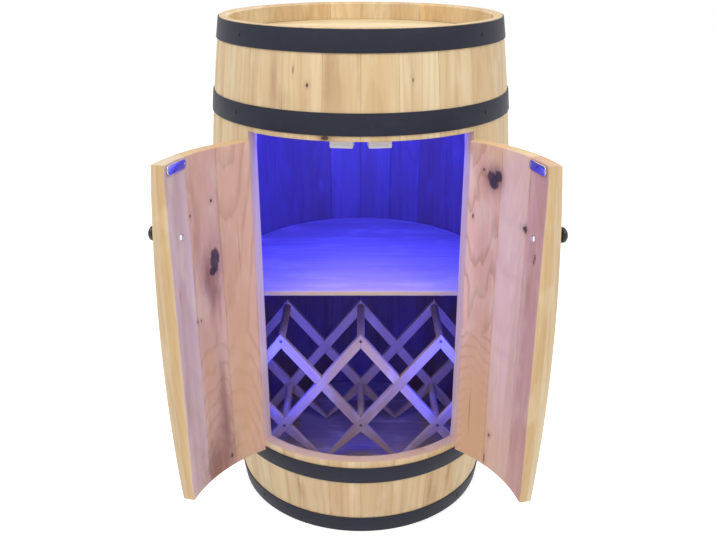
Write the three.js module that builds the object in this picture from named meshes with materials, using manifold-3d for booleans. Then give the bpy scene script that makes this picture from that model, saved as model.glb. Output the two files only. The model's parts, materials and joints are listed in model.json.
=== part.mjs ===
// Barrel bar cabinet: a staved barrel with two doors cut out of its front, a shelf,
// a wine rack and a strip of lights inside. Millimetres, +Z up, the doors on the -Y side.
// Angles round the barrel are counted from the front, -Y, towards +X.

import * as THREE from 'three';
import { mergeVertices } from 'three/addons/utils/BufferGeometryUtils.js';
import Module from 'manifold-3d';

const wasm = await Module();
wasm.setup();

// Barrel
const barrelHeight = 800;
const bellyRadius = 242;
const bellyBulge = 29.5;
const compartmentWall = 28;
const staveEndThickness = 18;
const backStaveCount = 18;
const facetsPerStave = 2;
const frontHalfAngle = THREE.MathUtils.degToRad(43.4);
const frontSeamShares = [-1, -0.647, -0.304, 0, 0.304, 0.647, 1];
const seamGrooveWidth = 1.6;
const seamGrooveDepth = 0.9;

// Air left between pieces that touch, and what a cut runs past a face
const gap = 0.3;
const overrun = 2;

// Heads in their croze grooves
const headRecess = 28;
const headThickness = 18;
const headRimThickness = 8;
const headBevelWidth = 6;
const grooveDepth = 4;
const grooveSlopeShare = 1;

// Hoops
const hoopWidth = 30;
const hoopThickness = 1.5;
const hoopEndInset = 1;
const hoopDropBelowOpening = 11.5;
const hoopLiftAboveOpening = 7.5;

// Front opening and the two doors
const lowerBandHeight = 148;
const upperBandHeight = 144;
const doorBottomGap = 5.5;
const doorTopGap = 5;
const doorMeetingGap = 2.4;
const doorHingeGap = 3;
const doorLevels = 9;
const leftDoorOpening = THREE.MathUtils.degToRad(104);
const rightDoorOpening = THREE.MathUtils.degToRad(99.5);

// Butt hinges on the outside of the jambs
const hingeLength = 50;
const lowerHingeInset = 96.5;
const upperHingeInset = 101;
const knuckleRadius = 3.5;
const knuckleCount = 3;
const pinRadius = 1.6;
const pinHeadHeight = 1.4;
const leafThickness = 1.8;
const leafWidth = 20;

// Knobs, each held by a screw through the door
const knobDropBelowOpening = 108;
const knobSetIn = 34;
const knobBaseRadius = 7;
const knobNeckRadius = 5;
const knobHeadRadius = 11;
const knobHeight = 24;
const knobBoreDepth = 12;
const screwRadius = 2;
const screwHeadRadius = 4.5;
const screwHeadHeight = 2.6;
const screwCrownShare = 0.6;

// Magnetic catches under the lintel, and the plates on the doors that they hold
const strikeWidth = 43;
const strikeHeight = 12.5;
const strikeThickness = 1.5;
const strikeEdge = 27;
const strikeTopInset = 2;
const catchWidth = 32;
const catchHeight = 14;
const catchDepth = 15;
const catchChamfer = 2;
const catchBlockHeight = 14;
const catchBlockDepth = 20;

// Shelf, its top at the middle of the barrel
const shelfThickness = 8;
const shelfSetBack = 75.5;

// Lights
const stripWidth = 10;
const stripThickness = 2;
const stripJambInset = 5;
const stripBottomInset = 14;
const stripLiftAboveBlock = 1.7;
const batteryBoxHeight = 26;
const batteryBoxDepth = 16;
const batteryBoxLift = 12;

// Wine rack
const rackCellWidth = 133;
const rackCellHeight = 163.6;
const rackFootDrop = 7.9;
const rackFrontFace = 84;
const rackDepth = 136;
const rackSideGap = 18.8;
const slatWidth = 16;
const slatThickness = 10;
const rodRadius = 6.5;
const rackBoreRadius = 2.6;

// Roundness of turned pieces
const turnedSides = 16;
const smallSides = 12;

const materials = {
  staveWood: new THREE.MeshStandardMaterial({ color: 0xe3c48f, roughness: 0.6, metalness: 0 }),
  doorWood: new THREE.MeshStandardMaterial({ color: 0xdcb48c, roughness: 0.6, metalness: 0 }),
  headWood: new THREE.MeshStandardMaterial({ color: 0xead3a2, roughness: 0.6, metalness: 0 }),
  boardWood: new THREE.MeshStandardMaterial({ color: 0xd8b788, roughness: 0.65, metalness: 0 }),
  rackWood: new THREE.MeshStandardMaterial({ color: 0xcfa474, roughness: 0.65, metalness: 0 }),
  hoopSteel: new THREE.MeshStandardMaterial({ color: 0x2d3038, roughness: 0.45, metalness: 0.6 }),
  blackSteel: new THREE.MeshStandardMaterial({ color: 0x232326, roughness: 0.45, metalness: 0.7 }),
  brightSteel: new THREE.MeshStandardMaterial({ color: 0xc2c6cc, roughness: 0.3, metalness: 1 }),
  whitePlastic: new THREE.MeshStandardMaterial({ color: 0xe8e8ec, roughness: 0.45, metalness: 0 }),
  knobFinish: new THREE.MeshStandardMaterial({ color: 0x1f1b19, roughness: 0.35, metalness: 0.3 }),
  lightStrip: new THREE.MeshStandardMaterial({
    color: 0x2a3cff,
    roughness: 0.4,
    metalness: 0,
    emissive: 0x1020ff,
  }),
};

// Closed solids for the boolean cuts and joins

function weld(geometry) {
  const bare = geometry.clone();
  bare.deleteAttribute('normal');
  bare.deleteAttribute('uv');
  return mergeVertices(bare);
}

function solid(geometry) {
  const welded = weld(geometry);
  const mesh = new wasm.Mesh({
    numProp: 3,
    vertProperties: new Float32Array(welded.attributes.position.array),
    triVerts: new Uint32Array(welded.index.array),
  });
  mesh.merge();
  return new wasm.Manifold(mesh);
}

function geometryOf(body) {
  const mesh = body.getMesh();
  const geometry = new THREE.BufferGeometry();
  geometry.setAttribute('position', new THREE.BufferAttribute(mesh.vertProperties, 3));
  geometry.setIndex(new THREE.BufferAttribute(mesh.triVerts, 1));
  return geometry;
}

function union(geometries) {
  return geometries.map(solid).reduce((whole, next) => whole.add(next));
}

// The barrel's shape

const compartmentRadius = bellyRadius - compartmentWall;
const openingBottom = lowerBandHeight;
const openingTop = barrelHeight - upperBandHeight;

function outerRadius(z) {
  const rise = (z - barrelHeight / 2) / (barrelHeight / 2);
  return bellyRadius - bellyBulge * rise * rise;
}

function outerSlope(z) {
  const half = barrelHeight / 2;
  return Math.atan((2 * bellyBulge * (z - half)) / (half * half));
}

function innerRadius(z) {
  return Math.min(compartmentRadius, outerRadius(z) - staveEndThickness);
}

function split(from, to, count) {
  return Array.from({ length: count + 1 }, (_, i) => from + ((to - from) * i) / count);
}

function facetsBetween(seams) {
  const angles = [seams[0]];
  for (let i = 1; i < seams.length; i++) {
    angles.push(...split(seams[i - 1], seams[i], facetsPerStave).slice(1));
  }
  return angles;
}

const frontSeams = frontSeamShares.map((share) => share * frontHalfAngle);
const backSeams = split(frontHalfAngle, 2 * Math.PI - frontHalfAngle, backStaveCount);
const ringAngles = facetsBetween([...frontSeams, ...backSeams.slice(1)]).slice(0, -1);
const widestFacet = (backSeams[1] - backSeams[0]) / facetsPerStave;

// Radius of the flat facets at their middle, for what crosses a facet at any place
function facetMiddle(radius) {
  return radius * Math.cos(widestFacet / 2);
}

// Radius at an angle on the flat facet that joins two corners of one radius
function onFacet(radius, angle, from, to) {
  const middle = (from + to) / 2;
  return (radius * Math.cos((to - from) / 2)) / Math.cos(angle - middle);
}

function polar(radius, angle) {
  return new THREE.Vector2(radius * Math.sin(angle), -radius * Math.cos(angle));
}

// A box bent round the barrel. Its columns are angles with an optional dip of both faces,
// its rows are levels with an inner and an outer radius, and insets move its two side
// faces in along the tangent.
function bentBox(columns, rows, insets = [0, 0]) {
  const across = columns.length - 1;
  const up = rows.length - 1;
  const geometry = new THREE.BoxGeometry(across, 1, up, across, 1, up);
  const place = geometry.attributes.position;
  for (let i = 0; i < place.count; i++) {
    const column = Math.round(place.getX(i) + across / 2);
    const { angle, dip = 0 } = columns[column];
    const row = rows[Math.round(place.getZ(i) + up / 2)];
    const radius = place.getY(i) < 0 ? row.outer - dip : row.inner + dip;
    const point = polar(radius, angle);
    const inset = column === 0 ? insets[0] : column === across ? -insets[1] : 0;
    place.setXYZ(i, point.x + inset * Math.cos(angle), point.y + inset * Math.sin(angle), row.z);
  }
  return geometry;
}

function plainColumns(angles) {
  return angles.map((angle) => ({ angle }));
}

// Columns of several staves glued side by side, with a shallow groove at each seam
function gluedColumns(seams) {
  const halfGroove = seamGrooveWidth / 2 / bellyRadius;
  const columns = [];
  seams.forEach((seam, i) => {
    const inside = i > 0 && i < seams.length - 1;
    if (inside) {
      columns.push({ angle: seam - halfGroove });
      columns.push({ angle: seam, dip: seamGrooveDepth });
      columns.push({ angle: seam + halfGroove });
    } else {
      columns.push({ angle: seam });
    }
    if (i < seams.length - 1) {
      const facets = split(seam, seams[i + 1], facetsPerStave).slice(1, -1);
      columns.push(...plainColumns(facets));
    }
  });
  return columns;
}

function wallRow(z) {
  return { z, inner: innerRadius(z), outer: outerRadius(z) };
}

// Rows of the lower end of a stave: the straight chime and the croze groove
const crozeLevel = headRecess + headThickness / 2;
const chimeRadius = innerRadius(crozeLevel);
const grooveRadius = chimeRadius + grooveDepth;
const grooveHalf = headRimThickness / 2 + gap;
const grooveLip = grooveHalf + grooveDepth * grooveSlopeShare;

function endRows() {
  const chime = (z, inner) => ({ z, inner, outer: outerRadius(z) });
  return [
    chime(0, chimeRadius),
    chime(crozeLevel - grooveLip, chimeRadius),
    chime(crozeLevel - grooveHalf, grooveRadius),
    chime(crozeLevel + grooveHalf, grooveRadius),
    wallRow(crozeLevel + grooveLip),
  ];
}

function upsideDown(rows) {
  return rows.map((row) => ({ ...row, z: barrelHeight - row.z })).reverse();
}

// Level where the stave's end thickness gives way to the straight compartment wall
const shoulderRise = Math.sqrt((compartmentWall - staveEndThickness) / bellyBulge);
const shoulderLevel = (barrelHeight / 2) * (1 - shoulderRise);

const lowEnd = endRows();

function staveRows() {
  const belowShoulder = (lowEnd[lowEnd.length - 1].z + shoulderLevel) / 2;
  const lower = [...lowEnd, wallRow(belowShoulder), wallRow(shoulderLevel)];
  const quarter = wallRow((shoulderLevel + barrelHeight / 2) / 2);
  return [...lower, quarter, wallRow(barrelHeight / 2), ...upsideDown([...lower, quarter])];
}

// A ring whose corners stand at the staves' own facet angles: a lathe with its columns turned
function barrelRing(profile) {
  const points = profile.map(([radius, z]) => new THREE.Vector2(radius, z));
  const geometry = new THREE.LatheGeometry(points, ringAngles.length);
  const place = geometry.attributes.position;
  for (let i = 0; i < place.count; i++) {
    const column = Math.floor(i / points.length) % ringAngles.length;
    const { x: radius, y: z } = points[i % points.length];
    const point = polar(radius, ringAngles[column]);
    place.setXYZ(i, point.x, point.y, z);
  }
  return geometry;
}

// A turned piece along +Z from pairs of radius and height, closed on its axis
function turned(profile, sides = turnedSides) {
  const points = profile.map(([radius, along]) => new THREE.Vector2(radius, along));
  return new THREE.LatheGeometry(points, sides).rotateX(Math.PI / 2);
}

function cylinderAlongZ(radius, length, sides = smallSides) {
  return turned([[0, 0], [radius, 0], [radius, length], [0, length]], sides);
}

// Scene graph

const cabinet = new THREE.Group();
const barrel = new THREE.Group();
cabinet.add(barrel);

function add(parent, name, geometry, material) {
  const mesh = new THREE.Mesh(weld(geometry), material);
  mesh.name = name;
  parent.add(mesh);
  return mesh;
}

// Full staves round the back and sides

for (let i = 0; i < backStaveCount; i++) {
  const columns = plainColumns(facetsBetween([backSeams[i], backSeams[i + 1]]));
  const stave = bentBox(columns, staveRows(), [gap / 2, gap / 2]);
  add(barrel, `stave_${String(i + 1).padStart(2, '0')}`, stave, materials.staveWood);
}

// Glued-up short staves above and below the opening

function frontBand(rows) {
  return bentBox(gluedColumns(frontSeams), rows, [gap / 2, gap / 2]);
}

function bandRows(height) {
  const middle = (lowEnd[lowEnd.length - 1].z + height) / 2;
  return [...lowEnd, wallRow(middle), wallRow(height)];
}

const lowerBand = bandRows(lowerBandHeight);
const upperBand = upsideDown(bandRows(upperBandHeight));
add(barrel, 'front_lower_staves', frontBand(lowerBand), materials.staveWood);
add(barrel, 'front_upper_staves', frontBand(upperBand), materials.staveWood);

// Hoops

function hoop(bottom) {
  const top = bottom + hoopWidth;
  const low = outerRadius(bottom) + gap;
  const high = outerRadius(top) + gap;
  return barrelRing([
    [low, bottom],
    [low + hoopThickness, bottom],
    [high + hoopThickness, top],
    [high, top],
    [low, bottom],
  ]);
}

const hoops = {
  lower_end_hoop: hoopEndInset,
  lower_inner_hoop: openingBottom - hoopDropBelowOpening - hoopWidth,
  upper_inner_hoop: openingTop + hoopLiftAboveOpening,
  upper_end_hoop: barrelHeight - hoopEndInset - hoopWidth,
};
for (const [name, bottom] of Object.entries(hoops)) {
  add(barrel, name, hoop(bottom), materials.hoopSteel);
}

// Heads, bevelled into their grooves

function head() {
  const faceRadius = grooveRadius - gap - headBevelWidth;
  const outline = new THREE.Shape(ringAngles.map((angle) => polar(faceRadius, angle)));
  return new THREE.ExtrudeGeometry(outline, {
    depth: headRimThickness,
    bevelThickness: (headThickness - headRimThickness) / 2,
    bevelSize: headBevelWidth,
    bevelSegments: 1,
  });
}

const rimAboveCentre = headRimThickness / 2;
const bottomHead = head().translate(0, 0, crozeLevel - rimAboveCentre);
const topHead = head().translate(0, 0, barrelHeight - crozeLevel - rimAboveCentre);
add(barrel, 'bottom_head', bottomHead, materials.headWood);
add(barrel, 'top_head', topHead, materials.headWood);

// Shelf: the barrel's inside outline with a straight front edge

function shelf() {
  const radius = compartmentRadius - gap;
  const fromFront = ringAngles.map((angle) => (angle < 0 ? angle + 2 * Math.PI : angle));
  const corners = fromFront.sort((a, b) => a - b).map((angle) => polar(radius, angle));
  const frontEdge = shelfSetBack - compartmentRadius;
  const behind = corners.filter((corner) => corner.y > frontEdge);
  const cut = (inside, outside) => {
    const share = (frontEdge - inside.y) / (outside.y - inside.y);
    return inside.clone().lerp(outside, share);
  };
  const first = corners.indexOf(behind[0]);
  const last = corners.indexOf(behind[behind.length - 1]);
  const outline = new THREE.Shape([
    cut(corners[first], corners[first - 1]),
    ...behind,
    cut(corners[last], corners[(last + 1) % corners.length]),
  ]);
  return new THREE.ExtrudeGeometry(outline, { depth: shelfThickness, bevelEnabled: false });
}

const shelfLevel = barrelHeight / 2 - shelfThickness;
add(barrel, 'shelf', shelf().translate(0, 0, shelfLevel), materials.boardWood);

// A block on the lintel's inner face, between the first and the last of some seams
function lintelBlock(seams, bottom, height, depth) {
  const rows = [bottom, bottom + height].map((z) => ({
    z,
    inner: innerRadius(z) - depth,
    outer: innerRadius(z) - gap,
  }));
  return bentBox(plainColumns(facetsBetween(seams)), rows);
}

// Block inside the lintel that carries the two catches, as wide as the two middle staves

const blockBottom = openingTop + gap;
const catchBlock = lintelBlock(frontSeams.slice(2, 5), blockBottom, catchBlockHeight, catchBlockDepth);
add(barrel, 'catch_block', catchBlock, materials.boardWood);

// Where a plate across an inside corner of the closed door stands
const doorBottom = openingBottom + doorBottomGap;
const doorTop = openingTop - doorTopGap;
const strikeAngle = Math.asin(strikeEdge / innerRadius(doorTop));
const strikeFlat = facetMiddle(innerRadius(doorTop));
const strikeBack = Math.sqrt(strikeFlat ** 2 - (strikeWidth / 2) ** 2) - gap;
const catchFace = strikeBack - strikeThickness - gap;

function catchBody() {
  const half = catchWidth / 2;
  const outline = new THREE.Shape([
    new THREE.Vector2(-half, 0),
    new THREE.Vector2(-half + catchChamfer, -catchDepth),
    new THREE.Vector2(half - catchChamfer, -catchDepth),
    new THREE.Vector2(half, 0),
  ].map((point) => new THREE.Vector2(point.x, -point.y)).reverse());
  return new THREE.ExtrudeGeometry(outline, { depth: catchHeight, bevelEnabled: false });
}

// Doors, hinges, knobs and strike plates

const hingeLevels = {
  lower: doorBottom + lowerHingeInset,
  upper: doorTop - upperHingeInset,
};
const hingeEnds = Object.values(hingeLevels).flatMap((level) => split(
  level - hingeLength / 2,
  level + hingeLength / 2,
  1,
));
const hingeRadius = Math.max(...hingeEnds.map(outerRadius)) + knuckleRadius + gap;

// The pin's axis stands in the middle of the gap between door and jamb
const pinAngle = frontHalfAngle - doorHingeGap / 2 / hingeRadius;

function pinAxis(side) {
  return polar(hingeRadius, side * pinAngle);
}

// The facets on both sides of the right-hand gap, which carry the leaves
const doorHingeFacet = facetsBetween(frontSeams.slice(-2)).slice(-2);
const jambHingeFacet = facetsBetween(backSeams.slice(0, 2)).slice(0, 2);

// A leaf is a flat plate on the facet beside the gap, with a web to its own knuckles
function hingeLeaf(side, level, onDoor) {
  const direction = onDoor ? -1 : 1;
  const [from, to] = onDoor ? doorHingeFacet : jambHingeFacet;
  const atCorners = 1 / Math.cos((to - from) / 2);
  const angleAt = (distance) => pinAngle + (direction * distance) / hingeRadius;
  const strip = (near, far, bottom, top, outerAt) => {
    const angles = [near, far].map(angleAt).sort((a, b) => a - b);
    const rows = split(bottom, top, 2).map((z) => {
      const seat = (outerRadius(z) * Math.cos((to - from) / 2) + gap) * atCorners;
      return { z, inner: seat, outer: outerAt(seat) };
    });
    return bentBox(plainColumns(side > 0 ? angles : angles.map((angle) => -angle).reverse()), rows);
  };
  const axis = pinAxis(side);
  const bottom = level - hingeLength / 2;
  const plateStart = knuckleRadius + 2 * gap;
  const pieces = [strip(plateStart, leafWidth, bottom, bottom + hingeLength, (seat) => seat + leafThickness)];
  const pitch = hingeLength / knuckleCount;
  for (let i = onDoor ? 1 : 0; i < knuckleCount; i += 2) {
    const start = bottom + i * pitch + gap / 2;
    const end = start + pitch - gap;
    pieces.push(strip(0, plateStart + overrun, start, end, () => hingeRadius));
    pieces.push(cylinderAlongZ(knuckleRadius, end - start).translate(axis.x, axis.y, start));
  }
  const bore = cylinderAlongZ(pinRadius + gap, hingeLength + 2 * overrun)
    .translate(axis.x, axis.y, bottom - overrun);
  return geometryOf(union(pieces).subtract(solid(bore)));
}

function hingePin(side, level) {
  const axis = pinAxis(side);
  const top = hingeLength + gap;
  return turned([
    [0, 0],
    [pinRadius, 0],
    [pinRadius, top],
    [knuckleRadius, top],
    [knuckleRadius, top + pinHeadHeight],
    [0, top + pinHeadHeight],
  ], smallSides).translate(axis.x, axis.y, level - hingeLength / 2);
}

// The knob stands on the second facet of the closed door, square to it
const knobLevel = openingTop - knobDropBelowOpening;
const [, knobFacetStart, knobFacetEnd] = facetsBetween(frontSeams.slice(3, 5));
const knobAngle = knobSetIn / bellyRadius;
const knobSquare = (knobFacetStart + knobFacetEnd) / 2;
const knobFacet = (radius) => onFacet(radius, knobAngle, knobFacetStart, knobFacetEnd);
const knobSurface = knobFacet(outerRadius(knobLevel));
const doorThicknessAtKnob = knobSurface - knobFacet(innerRadius(knobLevel));

// Turns a piece made along +Z, with the door's outer face at zero, to the knob's place
function toKnob(side, geometry) {
  const seat = polar(knobSurface, side * knobAngle);
  return geometry
    .rotateX(Math.PI / 2 - outerSlope(knobLevel))
    .rotateZ(side * knobSquare)
    .translate(seat.x, seat.y, knobLevel);
}

// The mushroom head's outline, as shares of its radius and of the knob's height
const knobHeadShares = [[0.85, 0.58], [1, 0.72], [0.85, 0.9], [0.45, 1], [0, 1]];
const knobNeckShares = [0.12, 0.3, 0.45];

function knob(side) {
  const bore = screwRadius + gap;
  const [foot, neckStart, neckEnd] = knobNeckShares.map((share) => gap + share * knobHeight);
  const profile = [
    [bore, gap],
    [knobBaseRadius, gap],
    [knobBaseRadius, foot],
    [knobNeckRadius, neckStart],
    [knobNeckRadius, neckEnd],
    ...knobHeadShares.map(([out, up]) => [out * knobHeadRadius, gap + up * knobHeight]),
    [0, knobBoreDepth],
    [bore, knobBoreDepth],
    [bore, gap],
  ];
  return toKnob(side, turned(profile));
}

// The screw's head lies on the inner face, a little off it where the face leans away
const screwSeat = doorThicknessAtKnob + gap + screwHeadRadius * Math.tan(outerSlope(knobLevel));

function knobScrew(side) {
  const crown = screwSeat + screwHeadHeight;
  const profile = [
    [0, -crown],
    [screwHeadRadius * screwCrownShare, -crown],
    [screwHeadRadius, -crown + screwHeadHeight / 2],
    [screwHeadRadius, -screwSeat],
    [screwRadius, -screwSeat],
    [screwRadius, knobBoreDepth - gap],
    [0, knobBoreDepth - gap],
  ];
  return toKnob(side, turned(profile, smallSides));
}

function doorPanel(side) {
  const seams = frontSeams.slice(3);
  const edges = [doorMeetingGap / 2, doorHingeGap - gap / 2];
  const columns = gluedColumns(seams);
  const ordered = side > 0
    ? columns
    : columns.map((column) => ({ ...column, angle: -column.angle })).reverse();
  const insets = side > 0 ? edges : [...edges].reverse();
  const rows = split(doorBottom, doorTop, doorLevels).map(wallRow);
  const holeLength = doorThicknessAtKnob + screwHeadRadius;
  const hole = cylinderAlongZ(screwRadius + gap, holeLength + overrun).translate(0, 0, -holeLength);
  const panel = solid(bentBox(ordered, rows, insets));
  return geometryOf(panel.subtract(solid(toKnob(side, hole))));
}

function strikePlate(side) {
  const halfLength = (strikeWidth - strikeHeight) / 2;
  const outline = new THREE.Shape();
  outline.absarc(halfLength, 0, strikeHeight / 2, -Math.PI / 2, Math.PI / 2);
  outline.absarc(-halfLength, 0, strikeHeight / 2, Math.PI / 2, (3 * Math.PI) / 2);
  const plate = new THREE.ExtrudeGeometry(outline, {
    depth: strikeThickness,
    bevelEnabled: false,
    curveSegments: smallSides / 2,
  });
  const level = doorTop - strikeTopInset - strikeHeight / 2;
  return plate
    .rotateX(Math.PI / 2)
    .translate(0, -strikeBack + strikeThickness, level)
    .rotateZ(side * strikeAngle);
}

function swingingGroup(side, opening) {
  const axis = pinAxis(side);
  const swing = new THREE.Group();
  swing.position.set(axis.x, axis.y, 0);
  swing.rotation.z = side * opening;
  const closed = new THREE.Group();
  closed.position.set(-axis.x, -axis.y, 0);
  swing.add(closed);
  cabinet.add(swing);
  return closed;
}

const doors = [
  { hand: 'left', side: -1, opening: leftDoorOpening },
  { hand: 'right', side: 1, opening: rightDoorOpening },
];

for (const { hand, side, opening } of doors) {
  const door = swingingGroup(side, opening);
  add(door, `${hand}_door_panel`, doorPanel(side), materials.doorWood);
  add(door, `${hand}_knob`, knob(side), materials.knobFinish);
  add(door, `${hand}_knob_screw`, knobScrew(side), materials.brightSteel);
  add(door, `${hand}_strike_plate`, strikePlate(side), materials.brightSteel);
  const magnet = catchBody()
    .translate(0, -catchFace, openingTop - catchHeight)
    .rotateZ(side * strikeAngle);
  add(barrel, `${hand}_magnetic_catch`, magnet, materials.whitePlastic);
  for (const [place, level] of Object.entries(hingeLevels)) {
    const name = `${hand}_${place}_hinge`;
    add(barrel, `${name}_frame_leaf`, hingeLeaf(side, level, false), materials.blackSteel);
    add(door, `${name}_door_leaf`, hingeLeaf(side, level, true), materials.blackSteel);
    add(barrel, `${name}_pin`, hingePin(side, level), materials.blackSteel);
  }
}

// Strip of lights: up both jambs and across the inside of the lintel

const crossBottom = blockBottom + catchBlockHeight + stripLiftAboveBlock;
const crossTop = crossBottom + stripWidth;

function lightStrip() {
  const start = frontHalfAngle + stripJambInset / compartmentRadius;
  const end = start + stripWidth / compartmentRadius;
  const rowAt = (z) => {
    const outer = facetMiddle(innerRadius(z)) - gap;
    return { z, inner: outer - stripThickness, outer };
  };
  const bottom = openingBottom - stripBottomInset;
  const bends = [shoulderLevel, barrelHeight - shoulderLevel].filter((z) => z > bottom && z < crossTop);
  const rows = [bottom, ...bends, crossTop].map(rowAt);
  const upright = (from, to) => bentBox(plainColumns([from, to]), rows);
  const crossColumns = plainColumns([-end, ...facetsBetween(frontSeams), end]);
  const cross = bentBox(crossColumns, [crossBottom, crossTop].map(rowAt));
  return geometryOf(union([upright(-end, -start), upright(start, end), cross]));
}

add(barrel, 'led_strip', lightStrip(), materials.lightStrip);

// Battery box of the lights, on the lintel's inner face beside the catches
const batteryBox = lintelBlock(
  frontSeams.slice(4, 6),
  crossTop + batteryBoxLift,
  batteryBoxHeight,
  batteryBoxDepth,
);
add(barrel, 'led_battery_box', batteryBox, materials.whitePlastic);

// Wine rack: two lattices of crossed slats, held apart by rods at their crossings

const rackFloor = headRecess + headThickness + gap;
const slatRun = rackCellWidth / 2;
const slatRise = rackCellHeight / 2;
const slatReach = (slatWidth / 2) * Math.sqrt(1 + (slatRise / slatRun) ** 2);

// Crossings are counted in half cells, across from the middle and up from the lowest ones,
// which would stand just below the floor, to the apexes
const apexStep = 3;

function crossing(across, up) {
  return new THREE.Vector2(across * slatRun, rackFloor - rackFootDrop + up * slatRise);
}

// One slat from one crossing to another, with upright ends
function slat(from, to) {
  const outline = new THREE.Shape([
    new THREE.Vector2(from.x, from.y - slatReach),
    new THREE.Vector2(to.x, to.y - slatReach),
    new THREE.Vector2(to.x, to.y + slatReach),
    new THREE.Vector2(from.x, from.y + slatReach),
  ]);
  return new THREE.ExtrudeGeometry(outline, { depth: slatThickness, bevelEnabled: false })
    .rotateX(Math.PI / 2)
    .translate(0, slatThickness, 0);
}

const risingSlats = [
  [[-3, 2], [-2, apexStep]],
  [[-3, 0], [0, apexStep]],
  [[-1, 0], [2, apexStep]],
  [[1, 0], [3, 2]],
];
const rodCrossings = [[-2, apexStep], [0, apexStep], [2, apexStep], [-2, 1], [0, 1], [2, 1]];

function lattice() {
  const slats = [];
  for (const [[fromAcross, fromUp], [toAcross, toUp]] of risingSlats) {
    slats.push(slat(crossing(fromAcross, fromUp), crossing(toAcross, toUp)));
    slats.push(slat(crossing(-toAcross, toUp), crossing(-fromAcross, fromUp)));
  }
  const halfWidth = Math.sqrt(compartmentRadius ** 2 - rackFrontFace ** 2) - rackSideGap;
  const height = apexStep * slatRise + slatReach + overrun;
  const bounds = new THREE.BoxGeometry(2 * halfWidth, slatThickness + 2 * overrun, height)
    .translate(0, slatThickness / 2, rackFloor + height / 2);
  const bores = rodCrossings.map(([across, up]) => {
    const centre = crossing(across, up);
    return cylinderAlongZ(rackBoreRadius, slatThickness + 2 * overrun)
      .rotateX(Math.PI / 2)
      .translate(centre.x, slatThickness + overrun, centre.y);
  });
  return geometryOf(union(slats).intersect(solid(bounds)).subtract(union(bores)));
}

add(barrel, 'rack_front_lattice', lattice().translate(0, -rackFrontFace, 0), materials.rackWood);
const rackRearFace = rackDepth - rackFrontFace;
add(barrel, 'rack_rear_lattice', lattice().translate(0, rackRearFace, 0), materials.rackWood);

rodCrossings.forEach(([across, up], i) => {
  const centre = crossing(across, up);
  const length = rackDepth - slatThickness - 2 * gap;
  const rod = cylinderAlongZ(rodRadius, length, turnedSides)
    .rotateX(Math.PI / 2)
    .translate(centre.x, rackRearFace - gap, centre.y);
  add(barrel, `rack_rod_${i + 1}`, rod, materials.rackWood);
});

// The origin is the middle of the whole footprint, with the doors as they stand, on the floor
const footprint = new THREE.Box3().setFromObject(cabinet, true).getCenter(new THREE.Vector3());
cabinet.position.set(-footprint.x, -footprint.y, 0);

const model = new THREE.Group();
model.add(cabinet);

export default model;
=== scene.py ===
import json
import math

import bpy
import numpy as np
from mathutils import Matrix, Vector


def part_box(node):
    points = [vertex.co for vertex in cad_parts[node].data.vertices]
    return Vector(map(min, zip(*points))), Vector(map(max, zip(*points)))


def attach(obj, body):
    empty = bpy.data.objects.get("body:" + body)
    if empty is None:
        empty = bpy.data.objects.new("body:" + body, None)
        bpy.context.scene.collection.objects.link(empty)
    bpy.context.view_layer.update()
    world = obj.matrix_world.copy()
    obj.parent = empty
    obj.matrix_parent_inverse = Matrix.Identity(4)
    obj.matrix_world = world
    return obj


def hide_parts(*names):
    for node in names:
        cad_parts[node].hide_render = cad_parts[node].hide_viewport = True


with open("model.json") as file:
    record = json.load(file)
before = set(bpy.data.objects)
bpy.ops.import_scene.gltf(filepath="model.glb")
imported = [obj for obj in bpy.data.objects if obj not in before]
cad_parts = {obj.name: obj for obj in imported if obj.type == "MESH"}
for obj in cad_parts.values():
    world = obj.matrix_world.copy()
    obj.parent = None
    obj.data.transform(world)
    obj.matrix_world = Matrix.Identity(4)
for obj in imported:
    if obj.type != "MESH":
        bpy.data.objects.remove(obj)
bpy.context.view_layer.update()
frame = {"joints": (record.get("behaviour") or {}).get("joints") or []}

# Barrel
BARREL_HEIGHT = 0.8
BELLY_RADIUS = 0.242
BELLY_BULGE = 0.0295
COMPARTMENT_WALL = 0.028
STAVE_END_THICKNESS = 0.018
BACK_STAVES = 18
FRONT_HALF_ANGLE = math.radians(43.4)
FRONT_SEAM_SHARES = (-1, -0.647, -0.304, 0, 0.304, 0.647, 1)
CHIME_CHAMFER = 0.003
PLAIN_WALL_START = 0.06
PIECE_GAP = 0.0003
GLUE_LINE = 0.0001
BOARD_CORNER = 0.0009

# Heads in their croze grooves
HEAD_RECESS = 0.028
HEAD_THICKNESS = 0.018
HEAD_RIM = 0.008
HEAD_BEVEL = 0.006
CROZE_DEPTH = 0.004
HEAD_PLANKS = 5

# Front opening and doors
OPENING_BOTTOM = 0.148
OPENING_TOP = 0.656
DOOR_BOTTOM = 0.1535
DOOR_TOP = 0.651
DOOR_MEETING_GAP = 0.0024
DOOR_HINGE_GAP = 0.003

# Hoops
HOOP_WIDTH = 0.03
HOOP_THICKNESS = 0.0015
HOOP_LAP = 0.06
HOOP_RAMP = 0.02
HOOP_NAIL_RADIUS = 0.0033
HOOP_NAIL_ANGLE = math.radians(50.5)
LAP_RIVET_RADIUS = 0.0041
LAP_RIVET_SHARES = (0.28, 0.72)

# Hinges
HINGE_LENGTH = 0.05
KNUCKLE_RADIUS = 0.0035
KNUCKLES = 3
LEAF_WIDTH = 0.02
LEAF_THICKNESS = 0.0018
LEAF_CORNER = 0.0025
LEAF_EDGE = 0.0003
WEB_CORNER = 0.0004
WEB_EDGE = 0.0002
HINGE_PIN_RADIUS = 0.0016
HINGE_PIN_CHAMFER = 0.0002
HINGE_PIN_CROWN = 0.0014
HINGE_SCREW_RADIUS = 0.0031
HINGE_SCREW_CROWN = 0.0005
HINGE_SCREW_SHARES = (-0.34, 0, 0.34)

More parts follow.
